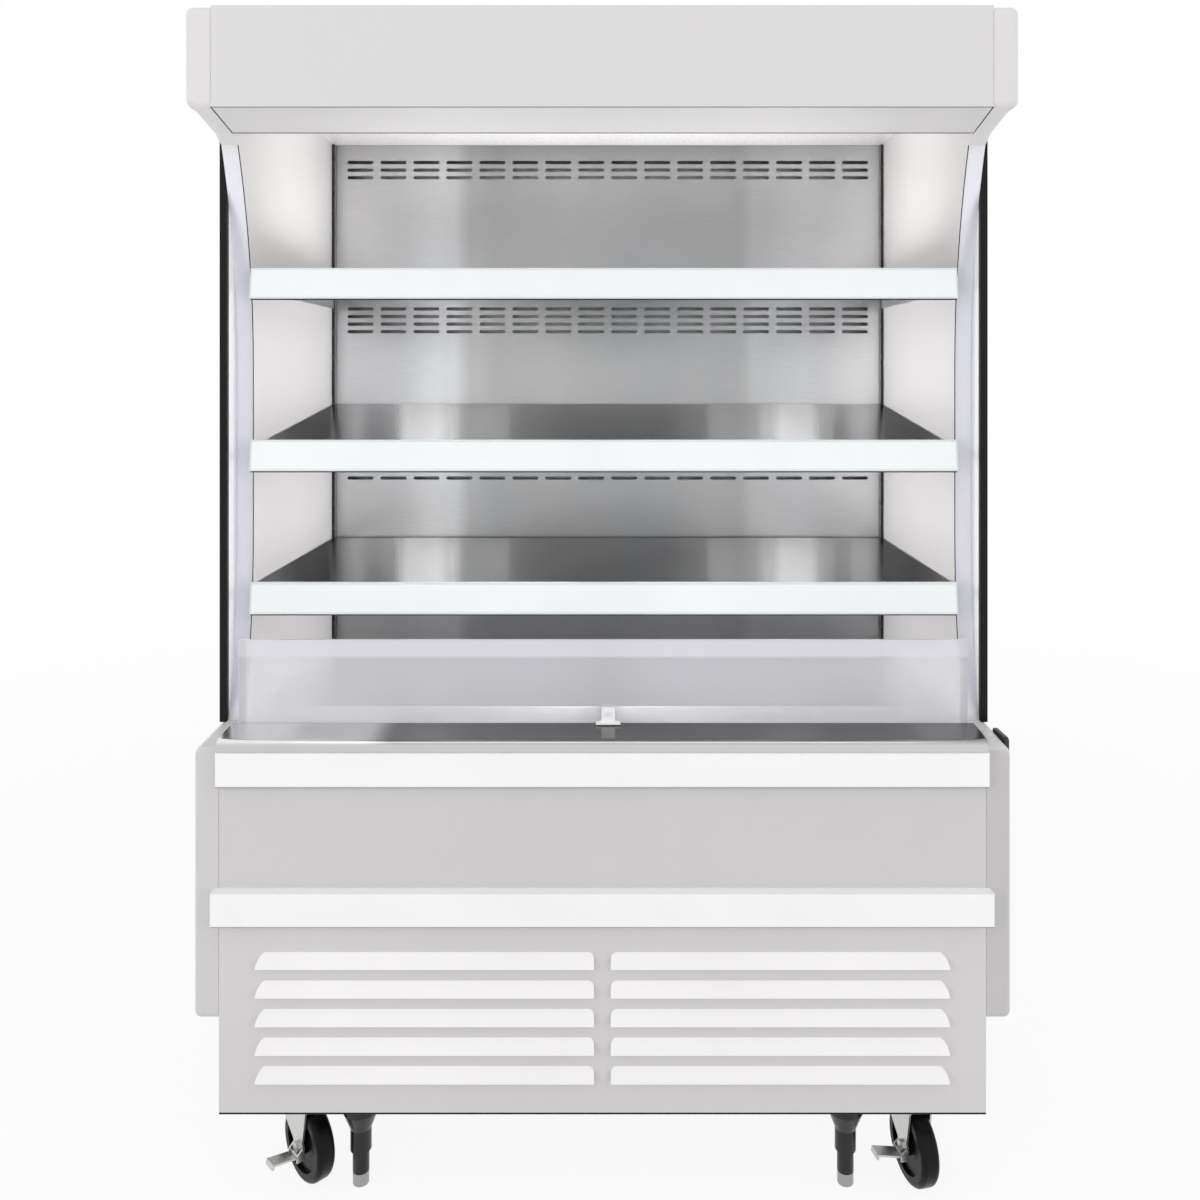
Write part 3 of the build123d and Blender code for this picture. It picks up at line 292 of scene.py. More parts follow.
def polished_shelf(name, colour, bands):
    """Polished shelf pan in painted reflection: dark bands that stand in for mirrored shade, and pale streaks of
    painted reflection.
    """
    finish = Finish(name, roughness=0.2, metallic=1.0)
    # painted reflection: pale streaks and dark bands across the fan
    streaks = finish.profile("FAN", bands)
    broad = finish.tone(colour, scale=3.4, amount=0.05, stretch=(1, 1, 0.12))
    tone = finish.mix(1.0, broad, streaks, "MULTIPLY")
    finish.colour(tone)
    finish.link(tone, finish.shader.inputs["Specular Tint"])
    # the pale painted reflection streaks are made less metallic, so they take diffuse light and show pale
    finish.link(finish.spread(streaks, 1.0, 0.3, 0.75, 1.0), finish.shader.inputs["Metallic"])
    finish.grain(scale=900, strength=0.1, polish=0.05, depth=0.0002, stretch=ALONG_X)
    return finish


def shaded_upright_steel(name, face, side):
    """Steel upright with painted shade: dark on its slotted face, which stands in the shadow of the gap, and
    bright on its sides.
    """
    finish = Finish(name, roughness=0.3, metallic=1.0)
    front = finish.tone(face, scale=20, amount=0.1)
    flank = finish.tone(side, scale=20, amount=0.05)
    # painted shade: the front-facing slotted face takes the dark tone
    finish.colour(finish.mix(finish.facing("Y", -0.9, -0.5), front, flank))
    finish.grain(scale=900, strength=0.1, polish=0.05, depth=0.0002, stretch=ALONG_Z)
    return finish


def polished_rail(name, face, top, bands):
    """Folded stainless rail in painted reflection: bright on its front face, with darker soft bands on its top and
    a light stretch at its left end.
    """
    finish = Finish(name, roughness=0.2, metallic=1.0)
    stretch = (0.5, 0.1, 0.1)
    upper = finish.tone(top, scale=3.4, amount=0.15, stretch=stretch)
    # painted reflection: the top is light at the left end and dark elsewhere
    upper = finish.mix(1.0, upper, finish.profile("X", bands), "MULTIPLY")
    lower = finish.tone(face, scale=3.4, amount=0.05, stretch=stretch)
    finish.colour(finish.mix(finish.facing("Z", 0.3, 0.98), lower, upper))
    finish.grain(scale=900, strength=0.08, polish=0.05, depth=0.0002, stretch=ALONG_X)
    return finish


def moulded(name, colour, roughness=0.35, coat=0.0, pebble=0.08, specular=0.5):
    """Moulded or extruded plastic with a very fine pebble."""
    finish = Finish(name, roughness=roughness, coat=coat)
    finish.set("Specular IOR Level", specular)
    finish.colour(finish.tone(colour, scale=6.0, amount=0.02))
    finish.grain(scale=700, strength=pebble, polish=0.04, depth=0.0003)
    return finish


def clear(name, axis, colour, alpha, edge_alpha, band=()):
    """Clear sheet: faint on its broad faces, which look along the axis, and denser on its edges; a band, where
    given, adds a painted reflection as more opacity.
    """
    finish = Finish(name, roughness=0.06, ior=1.49)
    finish.colour(finish.tone(colour, scale=4.0, amount=0.015))
    broad = finish.arithmetic("ABSOLUTE", finish.split("Normal")[axis])
    opacity = finish.spread(broad, edge_alpha, alpha, 0.3, 0.9)
    # painted reflection: more opacity along the band
    if band:
        opacity = finish.arithmetic("ADD", opacity, finish.profile("Z", band))
    finish.link(opacity, finish.shader.inputs["Alpha"])
    return finish


def zinc_sheet(name, colour, spangle, roughness=0.42, crystals=0.1):
    """Galvanised sheet or zinc plate with its crystal pattern."""
    finish = Finish(name, roughness=roughness, metallic=0.9)
    cells = finish.node("ShaderNodeTexVoronoi")
    cells.inputs["Scale"].default_value = spangle
    finish.link(finish.coords.outputs["Object"], cells.inputs["Vector"])
    chance = finish.node("ShaderNodeSeparateColor")
    finish.link(cells.outputs["Color"], chance.inputs["Color"])
    cell = finish.mix(chance.outputs["Red"], shade(colour, 1 - crystals), shade(colour, 1 + crystals))
    finish.colour(finish.mix(0.5, cell, finish.tone(colour, scale=9, amount=0.08)))
    finish.grain(scale=300, strength=0.04, polish=0.04, depth=0.0003)
    return finish


def finned(name, colour):
    """Aluminium fin pack: close dark lines across X."""
    finish = Finish(name, roughness=0.45, metallic=0.8)
    wave = finish.node("ShaderNodeTexWave", wave_type="BANDS", bands_direction="X")
    wave.inputs["Scale"].default_value = 90.0
    finish.link(finish.coords.outputs["Object"], wave.inputs["Vector"])
    tone = finish.tone(colour, scale=8, amount=0.08)
    finish.colour(finish.mix(wave.outputs["Fac"], shade(colour, 0.25), tone))
    finish.relief(wave.outputs["Fac"], strength=0.6, depth=0.001)
    return finish


def tyre_rubber(name, colour):
    """Black moulded wheel: satin, with a dusty tone and fine mould texture."""
    finish = Finish(name, roughness=0.3)
    finish.set("Specular IOR Level", 0.16)
    finish.colour(finish.tone(colour, scale=30, amount=0.35))
    finish.grain(scale=900, strength=0.12, polish=0.1, depth=0.0003)
    return finish


# painted reflection and painted shade, as (place, tone) along an axis, which give steel and paint their soft bands
# painted reflection on the back panel: lighter towards both sides, darker in the middle
BACK_REFLECTION_ACROSS = (
    (-0.567, 0.72), (-0.54, 0.92), (-0.45, 0.9), (-0.36, 1.0), (-0.325, 0.95), (-0.28, 0.66),
    (-0.22, 0.58), (0.0, 0.6), (0.27, 0.57), (0.31, 0.72), (0.42, 0.88), (0.54, 1.0),
    (0.567, 0.95),
)
# painted shade on the back panel: darker at its foot and towards the canopy, lighter in the middle bays
BACK_SHADE_AND_REFLECTION_UP = (
    (0.7, 0.5), (0.86, 0.45), (0.95, 0.88), (1.2, 1.0), (1.38, 1.0), (1.45, 0.81), (1.62, 0.82),
    (1.74, 0.68),
)
BACK_PAINTED_LIGHT = (("X", BACK_REFLECTION_ACROSS), ("Z", BACK_SHADE_AND_REFLECTION_UP))
# painted reflection in the shelf pans, as (place across the fan, tone)
SHELF_REFLECTION_STREAKS = (
    (-0.337, 0.37), (-0.308, 0.25), (-0.281, 0.25), (-0.273, 0.64), (-0.254, 0.79), (-0.237, 0.72),
    (-0.222, 0.78), (-0.204, 1.0), (-0.18, 1.0), (-0.163, 0.9), (-0.149, 0.79), (-0.116, 0.79),
    (-0.082, 0.64), (-0.059, 0.6), (0.037, 0.6), (0.066, 0.68), (0.091, 0.79), (0.126, 0.79),
    (0.141, 0.88), (0.157, 1.0), (0.18, 1.0), (0.196, 0.83), (0.212, 0.72), (0.229, 0.79),
    (0.245, 0.72), (0.255, 0.29), (0.283, 0.25), (0.316, 0.35),
)
# painted reflection on the top rail, as (place across, tone)
RAIL_PAINTED_REFLECTION = ((-0.6, 1.0), (-0.36, 1.0), (-0.31, 0.29), (0.1, 0.24), (0.6, 0.28))
# painted shade on the front faces of the end panels below the tub's top, heavier on the right panel
LEFT_END_SHADE = ((0.29, 0.87), (0.69, 0.87), (0.72, 1.0), (1.8, 1.0))
RIGHT_END_SHADE = ((0.29, 0.75), (0.69, 0.75), (0.72, 1.0), (1.8, 1.0))
# painted reflection: a denser, lighter band near the guard's top
GUARD_REFLECTION_BAND = ((0.70, 0.0), (0.815, 0.0), (0.822, 0.3), (0.85, 0.3))  # (height, more opacity)

# one white paint in lit and shaded copies: the lower front darker as painted shade, the canopy and the end panels
# lighter as painted light
LOWER_FRONT_PAINT_SHADED = (0.66, 0.645, 0.645)
CANOPY_PAINT_LIT = (0.73, 0.716, 0.72)
END_PAINT_LIT = (0.76, 0.742, 0.742)
EDGE_PAINT = (0.85, 0.85, 0.92)
finishes = {
    "white_paint": painted("white_paint", LOWER_FRONT_PAINT_SHADED),
    "end_paint": panel_paint("end_paint", END_PAINT_LIT, EDGE_PAINT, LEFT_END_SHADE),
    "end_paint_right_shaded": panel_paint("end_paint_right_shaded", END_PAINT_LIT, EDGE_PAINT, RIGHT_END_SHADE),
    "canopy_paint_lit": painted("canopy_paint_lit", CANOPY_PAINT_LIT),
    "louvre_paint": louvre_paint("louvre_paint", (0.69, 0.675, 0.675), (0.97, 0.955, 0.955)),
    # painted light: the ceiling panel's paint is a lighter copy of the cabinet's white, standing in for the lamp's
    # light
    "ceiling_paint_lit": painted("ceiling_paint_lit", (0.89, 0.875, 0.865), 0.3),
    "grille_paint": painted("grille_paint", (0.80, 0.79, 0.80), 0.3),
    "back_steel": brushed("back_steel", (0.925, 0.94, 0.97), 0.34, 0.12, BACK_PAINTED_LIGHT, (1, 1, 0.5)),
    "shelf_steel": polished_shelf("shelf_steel", (0.98, 0.98, 0.98), SHELF_REFLECTION_STREAKS),
    "deck_steel": brushed("deck_steel", (0.84, 0.84, 0.85), 0.35, 0.1),
    "rail_steel": polished_rail("rail_steel", (0.62, 0.62, 0.62), (0.95, 0.95, 0.95), RAIL_PAINTED_REFLECTION),
    "trim_steel": shaded_upright_steel("trim_steel", (0.06, 0.06, 0.06), (0.5, 0.5, 0.51)),
    "bracket_steel": brushed("bracket_steel", (0.9, 0.89, 0.89), 0.4, 0.05),
    "rail_white": moulded("rail_white", (0.95, 0.98, 0.99), 0.25, coat=0.2, pebble=0.02),
    "lip_white": moulded("lip_white", (0.82, 0.86, 0.90), 0.25, coat=0.2, pebble=0.02),
    "bumper_white": moulded("bumper_white", (0.985, 0.985, 0.985), 0.38),
    "clear_glass": clear("clear_glass", "X", (0.95, 0.95, 1.0), 0.45, 0.85),
    "clear_guard": clear("clear_guard", "Y", (0.87, 0.86, 0.91), 0.43, 0.9, GUARD_REFLECTION_BAND),
    "black_trim": moulded("black_trim", (0.006, 0.006, 0.006), 0.3, specular=0.2),
    "post_white": moulded("post_white", (0.93, 0.93, 0.95), 0.25),
    "lamp_white": moulded("lamp_white", (0.93, 0.93, 0.91), 0.3),
    "white_plastic": moulded("white_plastic", (0.78, 0.79, 0.79), 0.5),
    "galvanised": zinc_sheet("galvanised", (0.52, 0.54, 0.55), 45),
    "foot_zinc": zinc_sheet("foot_zinc", (0.36, 0.36, 0.36), 300, 0.25, 0.03),
    "zinc": zinc_sheet("zinc", (0.62, 0.62, 0.60), 260, 0.3, 0.03),
    "aluminium_fins": finned("aluminium_fins", (0.7, 0.71, 0.72)),
    "copper": brushed("copper", (0.72, 0.36, 0.22), 0.35, 0.15),
    "black_enamel": painted("black_enamel", (0.015, 0.015, 0.016), 0.25),
    "black_steel": moulded("black_steel", (0.008, 0.008, 0.009), 0.24, specular=0.4),
    "black_rubber": tyre_rubber("black_rubber", (0.004, 0.004, 0.0045)),
    "black_plastic": moulded("black_plastic", (0.025, 0.025, 0.028), 0.45),
    # dark seals at seams, and painted shade lines along the feet of parts
    "seam_seal_and_shade": moulded("seam_seal_and_shade", (0.03, 0.028, 0.026), 0.6, specular=0.1),
    "fan_plastic": moulded("fan_plastic", (0.05, 0.05, 0.055), 0.4),
}

# Finish of each CAD node that differs from its record slot
node_finish = {
    "end_panel_left": "end_paint",
    "end_panel_right": "end_paint_right_shaded",
    "canopy_fascia": "canopy_paint_lit",
    "canopy_soffit": "canopy_paint_lit",
    "louvre_panel": "louvre_paint",
    "ceiling_panel": "ceiling_paint_lit",
    "return_grille": "grille_paint",
    "back_panel": "back_steel",
    "shelf_1": "shelf_steel",
    "shelf_2": "shelf_steel",
    "shelf_3": "shelf_steel",
    "deck_pan": "deck_steel",
    "top_rail": "rail_steel",
    "leg_foot_1": "foot_zinc",
    "leg_foot_2": "foot_zinc",
    "shelf_uprights": "trim_steel",
    "shelf_brackets": "bracket_steel",
}


def paint(obj, finish):
    """Gives an object its one finish."""
    obj.data.materials.clear()
    obj.data.materials.append(finishes[finish].material)


for part in frame["record"]["subparts"]:
    node = part["node"]
    paint(nodes[node], node_finish.get(node, part["material_slot"]))

# ---------------------------------------------------------------- edges of the CAD pieces

edge_round = {
    "canopy_fascia": 0.0008,
    "front_panel": 0.0006,
    "louvre_panel": 0.0005,
    "price_rail_1": 0.0010,
    "price_rail_2": 0.0010,
    "price_rail_3": 0.0010,
    "shelf_1": 0.0006,
    "shelf_2": 0.0006,
    "shelf_3": 0.0006,
    "guard_holders": 0.0010,
    "switch_housing": 0.0006,
    "power_inlet": 0.0010,
    "shelf_brackets": 0.0005,
}


def soften(obj, width, segments=2):
    """Rounds the sharp edges a little, as folded sheet and mouldings have them."""
    bevel = obj.modifiers.new("edge_round", "BEVEL")
    bevel.width = width
    bevel.segments = segments
    bevel.limit_method = "ANGLE"
    bevel.angle_limit = math.radians(40)
    bevel.harden_normals = True


for node, width in edge_round.items():
    soften(nodes[node], width)

# ---------------------------------------------------------------- small pieces


def piece(name, mesh, finish, body="cabinet", edge=0.0):
    """A new piece of the object, which takes its finish and rides on a body."""
    obj = bpy.data.objects.new(name, mesh)
    bpy.context.scene.collection.objects.link(obj)
    if not mesh.materials:
        mesh.materials.append(finishes[finish].material)
    if edge:
        soften(obj, edge)
    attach(obj, body)
    return obj


def to_mesh(name, shape):
    """The finished mesh of a shape, with its faces turned outward."""
    bmesh.ops.recalc_face_normals(shape, faces=shape.faces)
    mesh = bpy.data.meshes.new(name)
    shape.to_mesh(mesh)
    shape.free()
    return mesh


def prism(name, section, x_low, x_high):
    """A section in the YZ plane, drawn out along X."""
    shape = bmesh.new()
    rings = []
    for x in (x_low, x_high):
        rings.append([shape.verts.new((x, y, z)) for y, z in section])
    count = len(section)
    for index in range(count):
        after = (index + 1) % count
        shape.faces.new((rings[0][index], rings[0][after], rings[1][after], rings[1][index]))
    shape.faces.new(rings[0][::-1])
    shape.faces.new(rings[1])
    return to_mesh(name, shape)


def round_section(middle, radius, count=14):
    """Points of a circle in the YZ plane."""
    turns = [2 * math.pi * index / count for index in range(count)]
    return [(middle[0] + radius * math.cos(turn), middle[1] + radius * math.sin(turn)) for turn in turns]


def turned(name, profile, sides=24):
    """A turned shape from (radius, height) points, about Z."""
    shape = bmesh.new()
    rings = []
    for radius, height in profile:
        ring = []
        for index in range(sides):
            turn = 2 * math.pi * index / sides
            ring.append(shape.verts.new((radius * math.cos(turn), radius * math.sin(turn), height)))
        rings.append(ring)
    for low, high in zip(rings, rings[1:]):
        for index in range(sides):
            after = (index + 1) % sides
            shape.faces.new((low[index], low[after], high[after], high[index]))
    shape.faces.new(rings[0][::-1])
    shape.faces.new(rings[-1])
    return to_mesh(name, shape)


def rail_lips():
    """Rounded lips along the top and foot of each price rail, with a cap at each end."""
    for number in RAIL_NUMBERS:
        low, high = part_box(f"price_rail_{number}")
        top = (high[1] - RAIL_THICKNESS, high[2] - LIP_RADIUS)
        foot = (low[1], low[2] + LIP_RADIUS)
        for place, (y, z) in (("top", top), ("foot", foot)):
            name = f"price_rail_{place}_lip_{number}"
            mesh = prism(name, round_section((y, z), LIP_RADIUS), low[0], high[0])
            piece(name, mesh, "lip_white")
        section = [
            (high[1], high[2]),
            (top[0] - LIP_RADIUS, high[2]),
            (foot[0] - LIP_RADIUS, low[2]),
            (foot[0] + RAIL_THICKNESS, low[2]),
        ]
        for side, x in (("left", low[0] - END_CAP), ("right", high[0])):
            name = f"price_rail_{side}_cap_{number}"
            piece(name, prism(name, section, x, x + END_CAP), "lip_white", edge=CAP_EDGE)


def stepped(name, layers):
    """Rectangular layers joined in order; each is (x half, y low, y high, z)."""
    shape = bmesh.new()
    rings = []
    for half, y_low, y_high, z in layers:
        corners = ((-half, y_low), (half, y_low), (half, y_high), (-half, y_high))
        rings.append([shape.verts.new((x, y, z)) for x, y in corners])
    for low, high in zip(rings, rings[1:]):
        for index in range(4):
            after = (index + 1) % 4
            shape.faces.new((low[index], low[after], high[after], high[index]))
    shape.faces.new(rings[0][::-1])
    shape.faces.new(rings[-1])
    return to_mesh(name, shape)


def guard_clip():
    """Front half of the guard's middle clip: a foot on the rail and a jaw with its screw."""
    guard_low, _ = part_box("front_guard")
    _, rail_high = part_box("top_rail")
    face, floor = guard_low[1], rail_high[2]
    layers = []
    for half, depth, height in CLIP_LAYERS:
        layers.append((half, face - depth, face - CLIP_GAP, floor + height))
    clip = piece("guard_clip_jaw", stepped("guard_clip_jaw", layers), "bumper_white", edge=CLIP_EDGE)
    clip.location.x = CLIP_X
    screw = piece("guard_clip_screw", screw_mesh(), "post_white")
    screw.rotation_euler = (0, 0, math.pi)
    screw.location = (CLIP_X, face - CLIP_SCREW[0], floor + CLIP_SCREW[1])


def seal(name, path, radius, sides=8):
    """A thin dark line of round section, in straight stretches between the points of a path: a seal at a seam, or
    painted shade along the foot of a part.
    """
    shape = bmesh.new()
    turns = [2 * math.pi * index / sides for index in range(sides)]
    circle = [Vector((radius * math.cos(turn), radius * math.sin(turn), 0)) for turn in turns]
    for start, end in zip(path, path[1:]):
        aim = (end - start).to_track_quat("Z", "Y")
        first = [shape.verts.new(start + aim @ point) for point in circle]
        last = [shape.verts.new(end + aim @ point) for point in circle]
        for index in range(sides):
            after = (index + 1) % sides
            shape.faces.new((first[index], first[after], last[after], last[index]))
        shape.faces.new(first[::-1])
        shape.faces.new(last)
    piece(name, to_mesh(name, shape), "seam_seal_and_shade")


def soffit_seal():
    """The seal round the canopy's soffit."""
    front_low, front_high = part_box("canopy_fascia")
    low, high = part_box("canopy_soffit")
    nose = (front_low[1] + SEAM_AND_SHADE_LINE_RADIUS, front_low[2])
    lip = (high[1], low[2])
    corners = [
        Vector((front_low[0], *nose)),
        Vector((front_high[0], *nose)),
        Vector((high[0], *lip)),
        Vector((low[0], *lip)),
        Vector((front_low[0], *nose)),
    ]
    seal("soffit_seal", corners, SEAM_AND_SHADE_LINE_RADIUS)


def foot_shade_lines():
    """Thin dark lines of painted shade along the feet of the price rails and the bumpers."""
    sizes = {f"price_rail_{number}": (RAIL_SHADE_LINE_INSET, RAIL_SHADE_LINE_RADIUS) for number in RAIL_NUMBERS}
    sizes["bumper_upper"] = (BUMPER_SHADE_LINE_INSET, SEAM_AND_SHADE_LINE_RADIUS)
    sizes["bumper_lower"] = (BUMPER_SHADE_LINE_INSET, SEAM_AND_SHADE_LINE_RADIUS)
    for node, (inset, radius) in sizes.items():
        low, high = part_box(node)
        y, z = low[1] + inset, low[2] - radius / 2
        seal(f"{node}_seal", [Vector((low[0], y, z)), Vector((high[0], y, z))], radius)


def curved_edge(node, x):
    """Points of a liner's curved front edge in the plane at x, from its foot up."""
    edge = set()
    for vertex in nodes[node].data.vertices:
        place = vertex.co
        in_plane = abs(place.x - x) < SAME_PLACE
        on_curve = CURVE_Y[0] < place.y < CURVE_Y[1] and CURVE_Z[0] < place.z < CURVE_Z[1]
        if in_plane and on_curve:
            edge.add((round(place.z, 5), round(place.y, 5)))
    return [Vector((x, y, z)) for z, y in sorted(edge)]


def curve_seals():
    """Seals along the curved front edges of the liners."""
    for side, node in ((-1, "end_panel_left"), (1, "end_panel_right")):
        seal(f"{node}_curve_seal", curved_edge(node, side * LINER_X), SEAM_AND_SHADE_LINE_RADIUS)


def base_shade_line():
    """Flat black strip of painted shade along the foot of the louvre panel."""
    low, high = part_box("louvre_panel")
    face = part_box("end_panel_left")[0][1] + PANEL_SETBACK
    front, back = face + BASE_SHADE_LINE[0], face + BASE_SHADE_LINE[1]
    foot, top = low[2] - BASE_SHADE_LINE_HEIGHT, low[2]
    section = [(front, foot), (back, foot), (back, top), (front, top)]
    piece("base_shade_line", prism("base_shade_line", section, low[0], high[0]), "seam_seal_and_shade", edge=BASE_SHADE_LINE_EDGE)


def hex_bolt_mesh():
    """Hexagon head with a washer face and a chamfered crown, under a caster plate."""
    corner = BOLT_FLATS / math.sqrt(3)
    shape = bmesh.new()
    layers = (
        (corner * 0.98, 0.0),
        (corner, -BOLT_WASHER),
        (corner, -BOLT_HEIGHT + BOLT_CHAMFER),
        (corner * 0.86, -BOLT_HEIGHT),
    )
    rings = []
    turns = [math.pi / 3 * index for index in range(6)]
    for radius, height in layers:
        points = [(radius * math.cos(turn), radius * math.sin(turn), height) for turn in turns]
        rings.append([shape.verts.new(point) for point in points])
    for upper, lower in zip(rings, rings[1:]):
        for index in range(6):
            after = (index + 1) % 6
            shape.faces.new((upper[index], upper[after], lower[after], lower[index]))
    shape.faces.new(rings[0])
    shape.faces.new(rings[-1][::-1])
    return to_mesh("caster_bolt", shape)


def caster_bolts():
    """Four bolts through each caster's top plate."""
    mesh = hex_bolt_mesh()
    plate_low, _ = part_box("base_frame")
    plate_under = plate_low[2] - PLATE_THICKNESS
    for number in CASTER_NUMBERS:
        swivel = next(joint for joint in frame["joints"] if joint["name"] == f"caster_swivel_{number}")
        x, y, _ = swivel["pos_m"]
        for count, (side, way) in enumerate(PLATE_CORNERS, start=1):
            bolt = piece(f"caster_bolt_{number}_{count}", mesh, "zinc")
            bolt.location = (x + side * PLATE_BOLTS[0], y + way * PLATE_BOLTS[1], plate_under)
            bolt.rotation_euler = (0, 0, BOLT_TURN * count + number)


def screw_mesh():
    """Rounded pan-head screw, its axis along Y and its head to the back."""
    outline = (
        (SCREW_RADIUS, 0),
        (SCREW_RADIUS, SCREW_RIM),
        (SCREW_RADIUS * 0.82, SCREW_SHOULDER),
        (SCREW_RADIUS * 0.45, SCREW_HEIGHT),
    )
    mesh = turned("cover_screw", outline)
    mesh.transform(Matrix.Rotation(math.radians(-90), 4, "X"))
    return mesh


def cover_screws():
    """A row of screws along the top and the foot of the rear cover."""
    mesh = screw_mesh()
    low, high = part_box("rear_cover")
    pitch = (high[0] - low[0] - 2 * COVER_SCREW_INSET) / (COVER_SCREW_COLUMNS - 1)
    columns = [low[0] + COVER_SCREW_INSET + step * pitch for step in range(COVER_SCREW_COLUMNS)]
    rows = (low[2] + COVER_SCREW_INSET, high[2] - COVER_SCREW_INSET)
    places = [(x, z) for z in rows for x in columns]
    for number, (x, z) in enumerate(places, start=1):
        screw = piece(f"cover_screw_{number}", mesh, "zinc")
        screw.location = (x, high[1], z)


rail_lips()
guard_clip()
soffit_seal()
foot_shade_lines()
curve_seals()
base_shade_line()
caster_bolts()
cover_screws()

# ---------------------------------------------------------------- light, floor and camera

KEY_POWER = 26.3
RIGHT_SHARE = 0.86
TOP_POWER = 9
CEILING_POWER = 2.3
SOFFIT_POWER = 0.25
KEY_SIZE = (1.2, 2.2)
KEY_AIM = (0, 0, 1.1)
BAY_Y = 0.03
BAY_SIZE = (0.36, 0.12)
BAYS = (  # height and power of the pair of lights in each bay
    ("deck", 0.79, 2.2),
    ("lower", 1.03, 2.4),
    ("middle", 1.31, 2.4),
    ("upper", 1.58, 0.22),
)
WORLD_LIGHT = 0.62
FLOOR_HALF = 30
FLOOR_COLOUR = (0.9, 0.9, 0.9, 1)
FLOOR_FADE = (1.2, 5.0)  # from the cabinet's middle; over it the floor turns to the backdrop's white
FLOOR_LIFT = (0.9, 1.0)
WHITE = (1, 1, 1, 1)
LENS = 31.26  # millimetres
CAMERA_SHIFT = (-0.0175, -0.175)
CAMERA_PLACE = (0.0276, -1.894, 1.230)


def area_light(name, place, aim, size, power, shines=False):
    """A soft light that no camera sees, and no gloss unless it shines."""
    lamp = bpy.data.lights.new(name, "AREA")
    lamp.shape = "RECTANGLE"
    lamp.size, lamp.size_y = size
    lamp.energy = power
    obj = bpy.data.objects.new(name, lamp)
    obj.location = place
    obj.rotation_euler = (Vector(aim) - Vector(place)).to_track_quat("-Z", "Y").to_euler()
    obj.visible_camera = False
    obj.visible_glossy = shines
    obj.visible_transmission = False
    bpy.context.scene.collection.objects.link(obj)


area_light("left", (-2.7, -2.4, 1.5), KEY_AIM, KEY_SIZE, KEY_POWER)
area_light("right", (2.7, -2.4, 1.5), KEY_AIM, KEY_SIZE, KEY_POWER * RIGHT_SHARE)
area_light("top", (0, -1.6, 3.4), (0, 0, 1.0), (2.6, 1.0), TOP_POWER, shines=True)
for bay, height, power in BAYS:
    area_light(f"{bay}_left", (0, BAY_Y, height), (-1, BAY_Y, height), BAY_SIZE, power)
    area_light(f"{bay}_right", (0, BAY_Y, height), (1, BAY_Y, height), BAY_SIZE, power)
area_light("ceiling", (0, BAY_Y, 1.475), (0, BAY_Y, 2.0), (1.0, 0.36), CEILING_POWER)
area_light("soffit", (0, -0.33, 1.45), (0, -0.33, 2.0), (1.1, 0.05), SOFFIT_POWER)


def background_switch(tree, plain, shown):
    """Shows a plain white to the camera, in gloss and through glass, and plain light elsewhere."""
    path = tree.nodes.new("ShaderNodeLightPath")
    rays = path.outputs["Is Camera Ray"]
    for other in ("Is Glossy Ray", "Is Transmission Ray"):
        more = tree.nodes.new("ShaderNodeMath")
        more.operation = "MAXIMUM"
        tree.links.new(rays, more.inputs[0])
        tree.links.new(path.outputs[other], more.inputs[1])
        rays = more.outputs[0]
    mix = tree.nodes.new("ShaderNodeMixShader")
    tree.links.new(rays, mix.inputs[0])
    tree.links.new(plain, mix.inputs[1])
    tree.links.new(shown, mix.inputs[2])
    return mix.outputs[0]


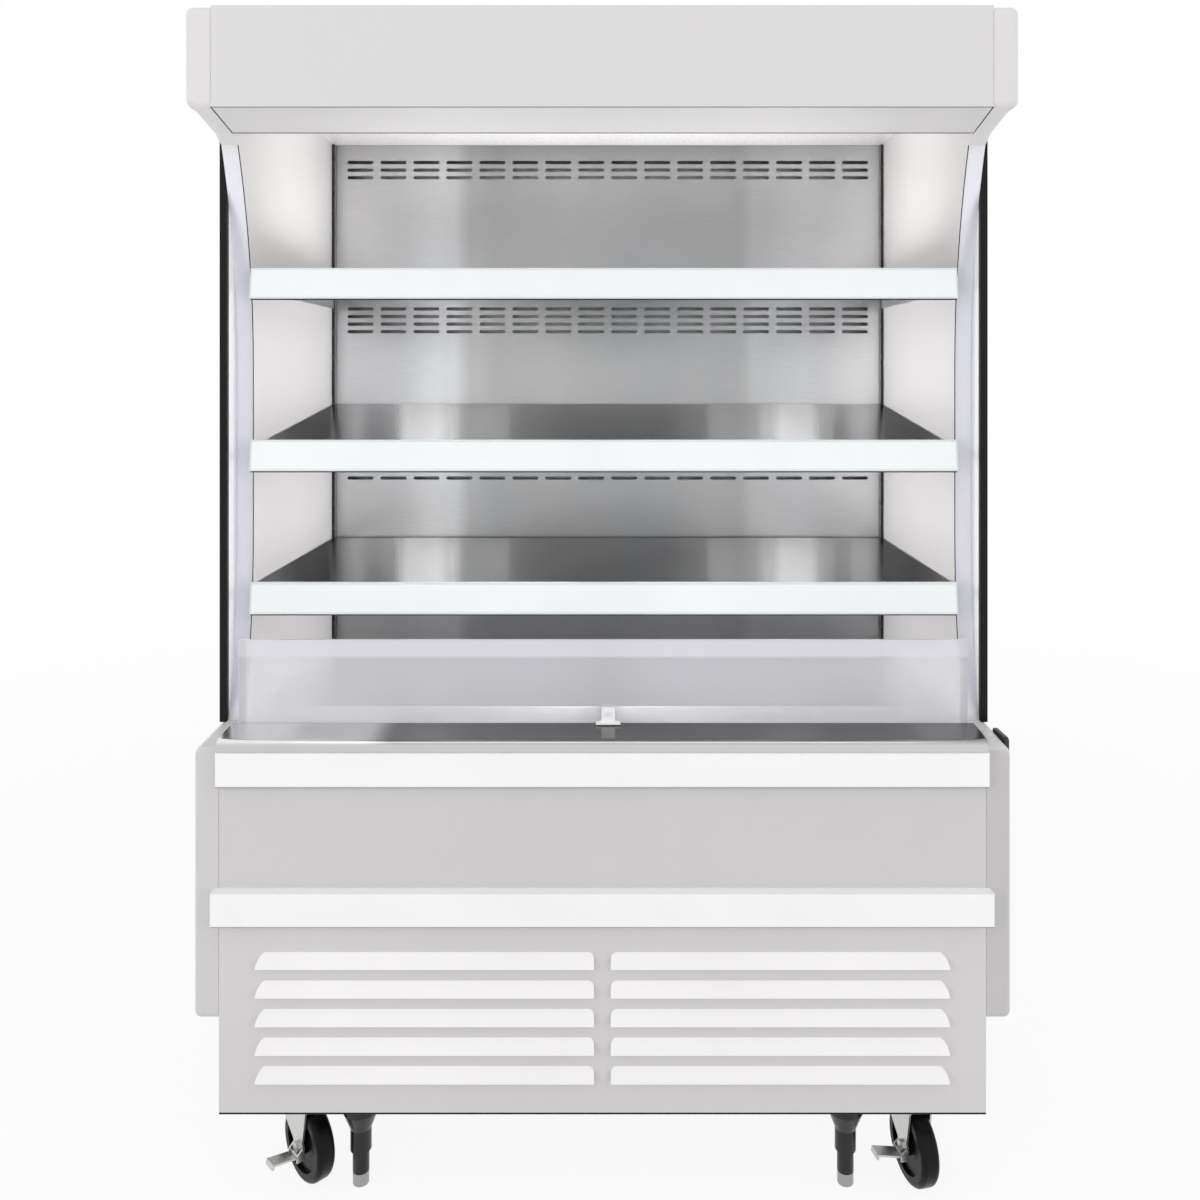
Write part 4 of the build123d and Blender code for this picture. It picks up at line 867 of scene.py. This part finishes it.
def white_world():
    """Even white light from all round."""
    world = bpy.data.worlds.new("studio")
    world.use_nodes = True
    tree = world.node_tree
    plain = tree.nodes["Background"]
    plain.inputs["Color"].default_value = WHITE
    plain.inputs["Strength"].default_value = WORLD_LIGHT
    shown = tree.nodes.new("ShaderNodeBackground")
    shown.inputs["Color"].default_value = WHITE
    shown.inputs["Strength"].default_value = 1.0
    output = tree.nodes["World Output"]
    mixed = background_switch(tree, plain.outputs[0], shown.outputs[0])
    tree.links.new(mixed, output.inputs["Surface"])
    bpy.context.scene.world = world


def white_floor():
    """A white floor that keeps the cabinet's shadow and fades into the backdrop."""
    shape = bmesh.new()
    bmesh.ops.create_grid(shape, x_segments=2, y_segments=2, size=FLOOR_HALF)
    floor = bpy.data.objects.new("floor", to_mesh("floor", shape))
    bpy.context.scene.collection.objects.link(floor)
    material = bpy.data.materials.new("floor")
    material.use_nodes = True
    tree = material.node_tree
    matte = tree.nodes["Principled BSDF"]
    matte.inputs["Base Color"].default_value = FLOOR_COLOUR
    matte.inputs["Roughness"].default_value = 0.9
    matte.inputs["Specular IOR Level"].default_value = 0.0
    glow = tree.nodes.new("ShaderNodeEmission")
    lifted = tree.nodes.new("ShaderNodeMixShader")
    coords = tree.nodes.new("ShaderNodeTexCoord")
    distance = tree.nodes.new("ShaderNodeVectorMath")
    distance.operation = "LENGTH"
    tree.links.new(coords.outputs["Object"], distance.inputs[0])
    fade = tree.nodes.new("ShaderNodeMapRange")
    fade.inputs["From Min"].default_value, fade.inputs["From Max"].default_value = FLOOR_FADE
    fade.inputs["To Min"].default_value, fade.inputs["To Max"].default_value = FLOOR_LIFT
    tree.links.new(distance.outputs["Value"], fade.inputs["Value"])
    tree.links.new(fade.outputs["Result"], lifted.inputs[0])
    tree.links.new(matte.outputs[0], lifted.inputs[1])
    tree.links.new(glow.outputs[0], lifted.inputs[2])
    mixed = background_switch(tree, matte.outputs[0], lifted.outputs[0])
    tree.links.new(mixed, tree.nodes["Material Output"].inputs["Surface"])
    floor.data.materials.append(material)


white_world()
white_floor()

camera = bpy.data.objects.new("camera", bpy.data.cameras.new("camera"))
camera.data.sensor_fit = "HORIZONTAL"
camera.data.lens = LENS
camera.data.shift_x, camera.data.shift_y = CAMERA_SHIFT
camera.location = CAMERA_PLACE
camera.rotation_euler = (math.radians(90), 0, 0)
bpy.context.scene.collection.objects.link(camera)
bpy.context.scene.camera = camera
bpy.context.scene.view_settings.view_transform = "Standard"
